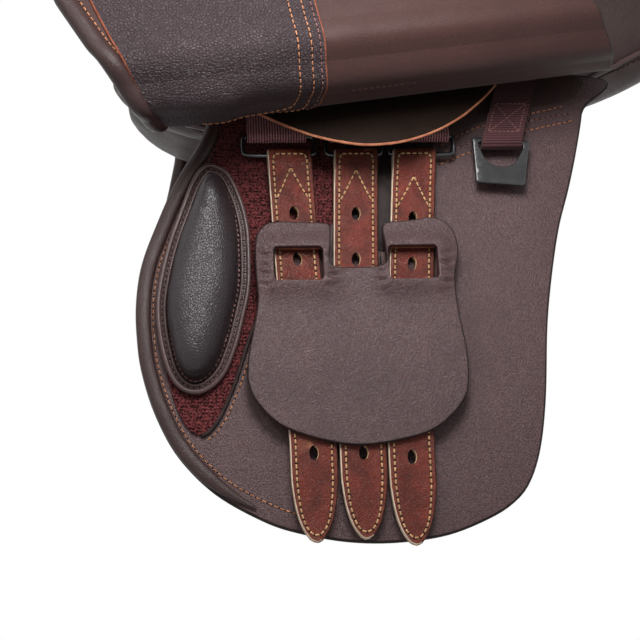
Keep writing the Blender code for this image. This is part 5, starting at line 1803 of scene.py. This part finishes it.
# %% Seat stations
# Each row: x, half width, height in the middle, height at the edge.
SEAT_ROWS = [
    (-0.205, 0.026, 0.170, 0.156), (-0.190, 0.046, 0.191, 0.156), (-0.160, 0.060, 0.187, 0.138),
    (-0.110, 0.076, 0.158, 0.118), (-0.050, 0.087, 0.135, 0.106), (0.020, 0.102, 0.129, 0.107),
    (0.090, 0.132, 0.138, 0.124), (0.150, 0.154, 0.160, 0.151), (0.200, 0.150, 0.192, 0.186),
    (0.232, 0.112, 0.225, 0.216), (0.247, 0.055, 0.237, 0.232),
]
SEAT_HALVES = smooth([row[:2] for row in SEAT_ROWS], steps=8)
SEAT_HEIGHTS = smooth([row[2:] for row in SEAT_ROWS], steps=8)
SEAT_FINE = [(*flat, *high) for flat, high in zip(SEAT_HALVES, SEAT_HEIGHTS)]
COVER_THICK = 0.003
SEAT_CURVE = 2.4
FALL_FRONT, FALL_MORE = 0.012, 0.018
FALL_FROM, FALL_TO = 0.035, 0.145


def cover_fall(x):
    """How far the cover turns down at its edge, more toward the cantle."""
    return FALL_FRONT + FALL_MORE * eased(share_of(x, FALL_FROM, FALL_TO))


def seat_at(x):
    """Half width, middle height and edge height of the seat at x."""
    xs = [row[0] for row in SEAT_FINE]
    return [float(np.interp(x, xs, [row[k] for row in SEAT_FINE])) for k in (1, 2, 3)]


def seat_edge(x):
    half, _, edge = seat_at(x)
    return half, edge


def seat_top(x, f):
    """A point on the seat at x, f from -1 at the near edge to 1 at the off edge."""
    half, middle, edge = seat_at(x)
    return Vector((x, f * half, middle + (edge - middle) * abs(f) ** SEAT_CURVE))


print("seat stations:", len(SEAT_FINE))

# %% Make the seat cover
SEAT_GRAIN = leather(
    "seat_leather", (0.048, 0.027, 0.025), (0.11, 0.065, 0.055),
    pebble=0.0012, crease=0.55, depth=0.00012, rough=(0.42, 0.54), patch=0.05, shine=0.16)
EDGE_DROP, DROP_FROM = 0.0022, 0.93
EDGE_IN, IN_FROM = 0.00056, 0.9


def cover_ring(x, half, middle, edge, fractions):
    """One section of the cover: over the top from foot to foot, and back inside it."""
    foot = edge - cover_fall(x)
    waist = (foot + edge) / 2
    outer = [Vector((x, -half, foot)), Vector((x, -half, waist))]
    for f in fractions:
        drop = EDGE_DROP * max(0.0, (abs(f) - DROP_FROM) / 0.07) ** 2
        width = half - EDGE_IN * max(0.0, abs(f) - IN_FROM) / 0.1
        z = middle + (edge - middle) * abs(f) ** SEAT_CURVE - drop
        outer.append(Vector((x, f * width, z)))
    outer += [Vector((x, half, waist)), Vector((x, half, foot))]
    inner = [Vector((x, half - COVER_THICK, foot))]
    for f in reversed(fractions):
        g = f * (half - COVER_THICK) / half
        z = middle + (edge - middle) * abs(g) ** SEAT_CURVE - COVER_THICK * 1.25
        inner.append(Vector((x, g * half, max(z, foot + 0.0002))))
    inner.append(Vector((x, COVER_THICK - half, foot)))
    return outer + inner


def seat_cover():
    fractions = [math.sin(math.radians(a)) for a in range(-90, 91, 6)]
    bm = bmesh.new()
    skin(bm, [cover_ring(*row, fractions) for row in SEAT_FINE])
    obj = finish_piece("seat_cover_leather", bm, [SEAT_GRAIN], None, ["seat_cover"])
    softened(obj, 1)
    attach(obj, "saddle")


seat_cover()
print("seat cover made")

# %% Make the welts
WELT_X = [float(x) for x in np.arange(-0.2045, 0.2468, 0.004)]
WELT_DROP = Vector((0.0, 0.0, -0.0022))
EDGE_WELT_HALF, SEAT_WELT_HALF = 0.0019, 0.0015
SEAM_X = [-0.182, -0.12, 0.0, 0.12, 0.2, 0.225]
SEAM_SHARE = [0.62, 0.56, 0.66, 0.74, 0.66, 0.40]
SEAM_ROW_BESIDE = 0.0042


def seat_welts():
    bm = bmesh.new()
    around = [seat_top(x, -1.0) for x in WELT_X]
    around += [Vector((0.2474, f * 0.046, 0.2352)) for f in (-0.5, 0.0, 0.5)]
    around += [seat_top(x, 1.0) for x in reversed(WELT_X)]
    around += [Vector((-0.2052, f * 0.024, 0.1605)) for f in (0.5, 0.0, -0.5)]
    around = [p + WELT_DROP for p in smooth(around, closed=True, steps=2)]
    tube(bm, even(around, 0.005, closed=True), EDGE_WELT_HALF, sides=10, closed=True)
    for sign in (-1, 1):
        inner = []
        for x in np.arange(-0.182, 0.226, 0.006):
            f = sign * float(np.interp(x, SEAM_X, SEAM_SHARE))
            inner.append(seat_top(x, f) + UP * 0.0003)
        tube(bm, inner, SEAT_WELT_HALF, sides=8)
        for shift in (-SEAM_ROW_BESIDE, SEAM_ROW_BESIDE):
            row = [seat_top(p.x, (p.y + shift) / seat_edge(p.x)[0]) + UP * 0.0001 for p in inner]
            stitches(bm, row, UP, index=1)
    mats = [PIPING_SKIN, THREAD_ORANGE, HOLE_SHADE]
    finish_piece("seat_welts", bm, mats, "saddle", (), weld=0)


seat_welts()
print("welts made")

# %% [markdown]
# ## Flap tops and skirts
# The top of the flap runs up under the seat, and the skirt covers the stirrup bar. Both
# are leather bent in two directions, so they are lofted from curves between the seat's
# edge and the hinge line. The skirt gets the stitched border that such skirts have.


# %% Leather lofted from curves
def lofted(bm, curves, thick, axis, grain):
    """Thick leather over a row of curves; each ring is the curve, and back again."""
    rings = []
    for curve in curves:
        outer = []
        for i in range(len(curve)):
            run = curve[min(i + 1, len(curve) - 1)] - curve[max(i - 1, 0)]
            normal = run.cross(axis).normalized()
            outer.append(curve[i] + (normal if normal.dot(grain) > 0 else -normal) * thick)
        first = (curve[0] + outer[0]) / 2 + (curve[0] - curve[1]).normalized() * thick * 0.35
        rings.append(curve + list(reversed(outer)) + [first])
    skin(bm, rings)
    return [list(reversed(ring[len(ring) // 2:-1])) for ring in rings]


def along_flap(s, f):
    """Place along the hinge line at depth s, f from the flap's front edge to its rear."""
    front, rear = flap_edge(FLAP_FRONT, s), flap_edge(FLAP_REAR, s)
    return front + (rear - front) * f


print("middle of the flap on the hinge line:", round(along_flap(0.0, 0.5), 3))

# %% Flap tops
TOP_CURVES = 41
TOP_FRONT, TOP_LONG = -0.164, 0.286
TOP_BESIDE, TOP_UNDER, TUCK = 0.003, 0.0032, 0.009
TOP_DEPTHS = ((-0.038, -0.022), (-0.076, -0.045))
TOP_FOOT, TOP_KNUCKLE = -0.012, -0.016


def flap_top(prefix, side):
    start, axis = FOLDS[prefix][:2]
    run, grain = turned(prefix, TOP_TURN)
    curves = []
    for f in np.linspace(0.0, 1.0, TOP_CURVES):
        x = TOP_FRONT + TOP_LONG * f
        half, edge = seat_edge(x)
        tuck = TUCK * share_of(x, 0.01, 0.07)
        crest = Vector((x, side * (half + TOP_BESIDE - tuck), edge - cover_fall(x) - TOP_UNDER))
        share = share_of(f, 0.3, 0.6)
        foot, knuckle = (start + axis * along_flap(s, f) + run * s for s in (TOP_FOOT, TOP_KNUCKLE))
        depths = [a + (b - a) * share for a, b in TOP_DEPTHS]
        flat = [start + axis * along_flap(0.0, f) + run * s for s in depths]
        curves.append([foot] + smooth([knuckle] + flat + [crest], steps=5))
    bm = bmesh.new()
    lofted(bm, curves, FLAP_THICK, axis, grain)
    name = prefix + "flap_top"
    finish_piece(name + "_leather", bm, [FLAP_GRAIN], "saddle", [name])


print("a flap top is lofted over", TOP_CURVES, "curves")

# %% Skirts
# Each row: place along and below the hinge line, height over it, x of the top end.
SKIRT_ROWS = [
    (-0.150, -0.100, 0.008, -0.166), (-0.158, -0.074, 0.0165, -0.154), (-0.154, -0.052, 0.022, -0.142),
    (-0.138, -0.036, 0.0235, -0.126), (-0.114, -0.029, 0.0235, -0.108), (-0.088, -0.029, 0.0235, -0.088),
    (-0.064, -0.037, 0.0235, -0.068), (-0.044, -0.050, 0.021, -0.050), (-0.028, -0.063, 0.015, -0.034),
    (-0.012, -0.076, 0.008, -0.018), (0.002, -0.086, 0.003, -0.004),
]
SKIRT_FEET = smooth([row[:2] for row in SKIRT_ROWS], steps=5)
SKIRT_TOPS = smooth([row[2:] for row in SKIRT_ROWS], steps=5)
SKIRT_THICK = 0.0035
SKIRT_BESIDE = 0.0007
SKIRT_KNEE, SKIRT_SWELL = -0.078, 0.003
SKIRT_ROW_IN = 0.0045


def skirt(prefix, side):
    start, axis = FOLDS[prefix][:2]
    run, grain = turned(prefix, TOP_TURN)
    curves = []
    for (t, s), (e, x) in zip(SKIRT_FEET, SKIRT_TOPS):
        half, edge = seat_edge(x)
        crest = Vector((x, side * (half + SKIRT_BESIDE), edge - cover_fall(x) * 0.70))
        reach = (crest - start).dot(axis)
        foot = start + axis * t + run * s + grain * e
        knee = start + axis * (t + 0.25 * (reach - t)) + run * min(SKIRT_KNEE, s - 0.008) + grain * e
        swell = (knee + crest) / 2 + grain * SKIRT_SWELL
        curves.append(smooth([foot, knee, swell, crest], steps=6))
    bm = bmesh.new()
    outers = lofted(bm, curves, SKIRT_THICK, axis, grain)
    border = [even(outer, SKIRT_ROW_IN)[1] for outer in outers[2:-2]]
    stitches(bm, border, grain, index=1)
    name = prefix + "skirt"
    mats = [FLAP_GRAIN, THREAD_ORANGE, HOLE_SHADE]
    finish_piece(name + "_leather", bm, mats, BODY[name], [name])


for PREFIX, SIDE in SIDES.items():
    flap_top(PREFIX, SIDE)
    skirt(PREFIX, SIDE)
print("flap tops and skirts made")

# %% [markdown]
# ## Floor and backdrop
# The saddle is shown as if held up, so the floor lies well below it. It is pale under
# the saddle, where a shadow falls, and glows plain white further out. The background
# is white for the camera and for reflections only, and dim for everything else.

# %% Floor
FLOOR_Z = -0.62
FLOOR_HALF = 6
FLOOR_TONE = (0.86, 0.86, 0.86, 1.0)
WHITE = (1.0, 1.0, 1.0, 1.0)
GLOW_FROM, GLOW_TO, GLOW_LEAST = 0.75, 1.15, 0.45


def seen_rays(tree):
    """1 for rays from the camera, by reflection and through glass, and 0 for others."""
    paths = node(tree, "ShaderNodeLightPath")
    seen = maths(tree, "MAXIMUM", paths.outputs["Is Camera Ray"], paths.outputs["Is Glossy Ray"])
    return maths(tree, "MAXIMUM", seen, paths.outputs["Is Transmission Ray"])


def floor_finish():
    mat, tree, shade = shader_of("pale_floor")
    shade.inputs["Base Color"].default_value = FLOOR_TONE
    shade.inputs["Roughness"].default_value = 0.9
    glow = node(tree, "ShaderNodeEmission", {"Color": WHITE, "Strength": 1.0})
    spot = node(tree, "ShaderNodeTexCoord").outputs["Object"]
    far = node(tree, "ShaderNodeVectorMath", {0: spot}, operation="LENGTH").outputs["Value"]
    share = maths(tree, "ADD", ramp(tree, far, GLOW_FROM, GLOW_TO), GLOW_LEAST, clamp=True)
    share = maths(tree, "MULTIPLY", seen_rays(tree), share)
    blend = node(tree, "ShaderNodeMixShader", {0: share, 1: shade.outputs[0], 2: glow.outputs[0]})
    tree.links.new(blend.outputs[0], tree.nodes["Material Output"].inputs["Surface"])
    return mat


def floor():
    bm = bmesh.new()
    for x, y in ((-1, -1), (1, -1), (1, 1), (-1, 1)):
        bm.verts.new((x * FLOOR_HALF, y * FLOOR_HALF, FLOOR_Z))
    bm.faces.new(bm.verts[:])
    mesh = bpy.data.meshes.new("floor")
    bm.to_mesh(mesh)
    bm.free()
    mesh.materials.append(floor_finish())
    obj = bpy.data.objects.new("floor", mesh)
    bpy.context.scene.collection.objects.link(obj)


floor()
print("floor at", FLOOR_Z)

# %% White backdrop
WORLD = bpy.data.worlds.new("white_room")
bpy.context.scene.world = WORLD
WORLD.use_nodes = True
TREE = WORLD.node_tree
SKY = TREE.nodes["Background"]
SKY.inputs["Color"].default_value = (0.80, 0.80, 0.80, 1.0)
SKY.inputs["Strength"].default_value = 0.25
SHOWN = node(TREE, "ShaderNodeBackground", {"Color": WHITE, "Strength": 1.0})
CHOOSE = node(TREE, "ShaderNodeMixShader", {0: seen_rays(TREE), 1: SKY.outputs[0], 2: SHOWN.outputs[0]})
TREE.links.new(CHOOSE.outputs[0], TREE.nodes["World Output"].inputs["Surface"])
print("backdrop:", WORLD.name)

# %% [markdown]
# ## Lamps and camera
# Two small lamps stand close to the near side and give the leather its highlights. A
# lamp from above and three weak ones from the front and the sides open the shadows, and
# a strong one beyond the off side lights the edges that turn away. The camera looks at
# the girth straps from a little in front of the middle, rolled by less than a degree.


# %% Lamps
def lamp(name, spot, aim, size, power):
    light = bpy.data.lights.new(name, "AREA")
    light.shape = "DISK"
    light.size = size
    light.energy = power
    obj = bpy.data.objects.new(name, light)
    obj.location = spot
    obj.rotation_euler = (Vector(aim) - Vector(spot)).to_track_quat("-Z", "Y").to_euler()
    bpy.context.scene.collection.objects.link(obj)


AIM = (-0.03, -0.10, -0.02)
# Each lamp: its place, where it points, its width in metres and its power in watts.
LAMPS = {
    "top_softbox": ((-0.15, -0.62, 1.05), AIM, 0.6, 1.6),
    "front_softbox": ((-0.55, -1.35, 0.0), (-0.05, -0.2, -0.05), 0.5, 0.3),
    "key_softbox": ((-0.04, -0.46, 0.18), (-0.03, -0.20, -0.05), 0.18, 2.0),
    "left_softbox": ((-0.46, -0.52, 0.40), (-0.04, -0.20, -0.06), 0.18, 1.4),
    "side_softbox": ((-1.3, -0.9, 0.35), AIM, 0.8, 0.8),
    "fill_softbox": ((1.5, -1.2, 0.6), AIM, 1.0, 0.9),
    "back_softbox": ((0.4, 1.7, 1.5), AIM, 1.4, 26.0),
}
for NAME, VALUES in LAMPS.items():
    lamp(NAME, *VALUES)
print("lamps:", len(LAMPS))

# %% Camera
CAMERA = bpy.data.cameras.new("photo_view")
CAMERA.lens = 73.83
CAMERA.sensor_width = 36.0
CAMERA.clip_start = 0.01
EYE = Vector((-0.1086, -0.9143, -0.0812))
LOOK_AT = Vector((-0.0459, -0.1973, -0.1206))
ROLL = Quaternion((0.0, 0.0, 1.0), -0.0121)
EYE_OBJECT = bpy.data.objects.new("photo_view", CAMERA)
EYE_OBJECT.location = EYE
EYE_OBJECT.rotation_euler = ((LOOK_AT - EYE).to_track_quat("-Z", "Y") @ ROLL).to_euler()
bpy.context.scene.collection.objects.link(EYE_OBJECT)
bpy.context.scene.camera = EYE_OBJECT
bpy.context.scene.view_settings.view_transform = "Standard"
print("camera looks at", tuple(round(x, 3) for x in LOOK_AT))
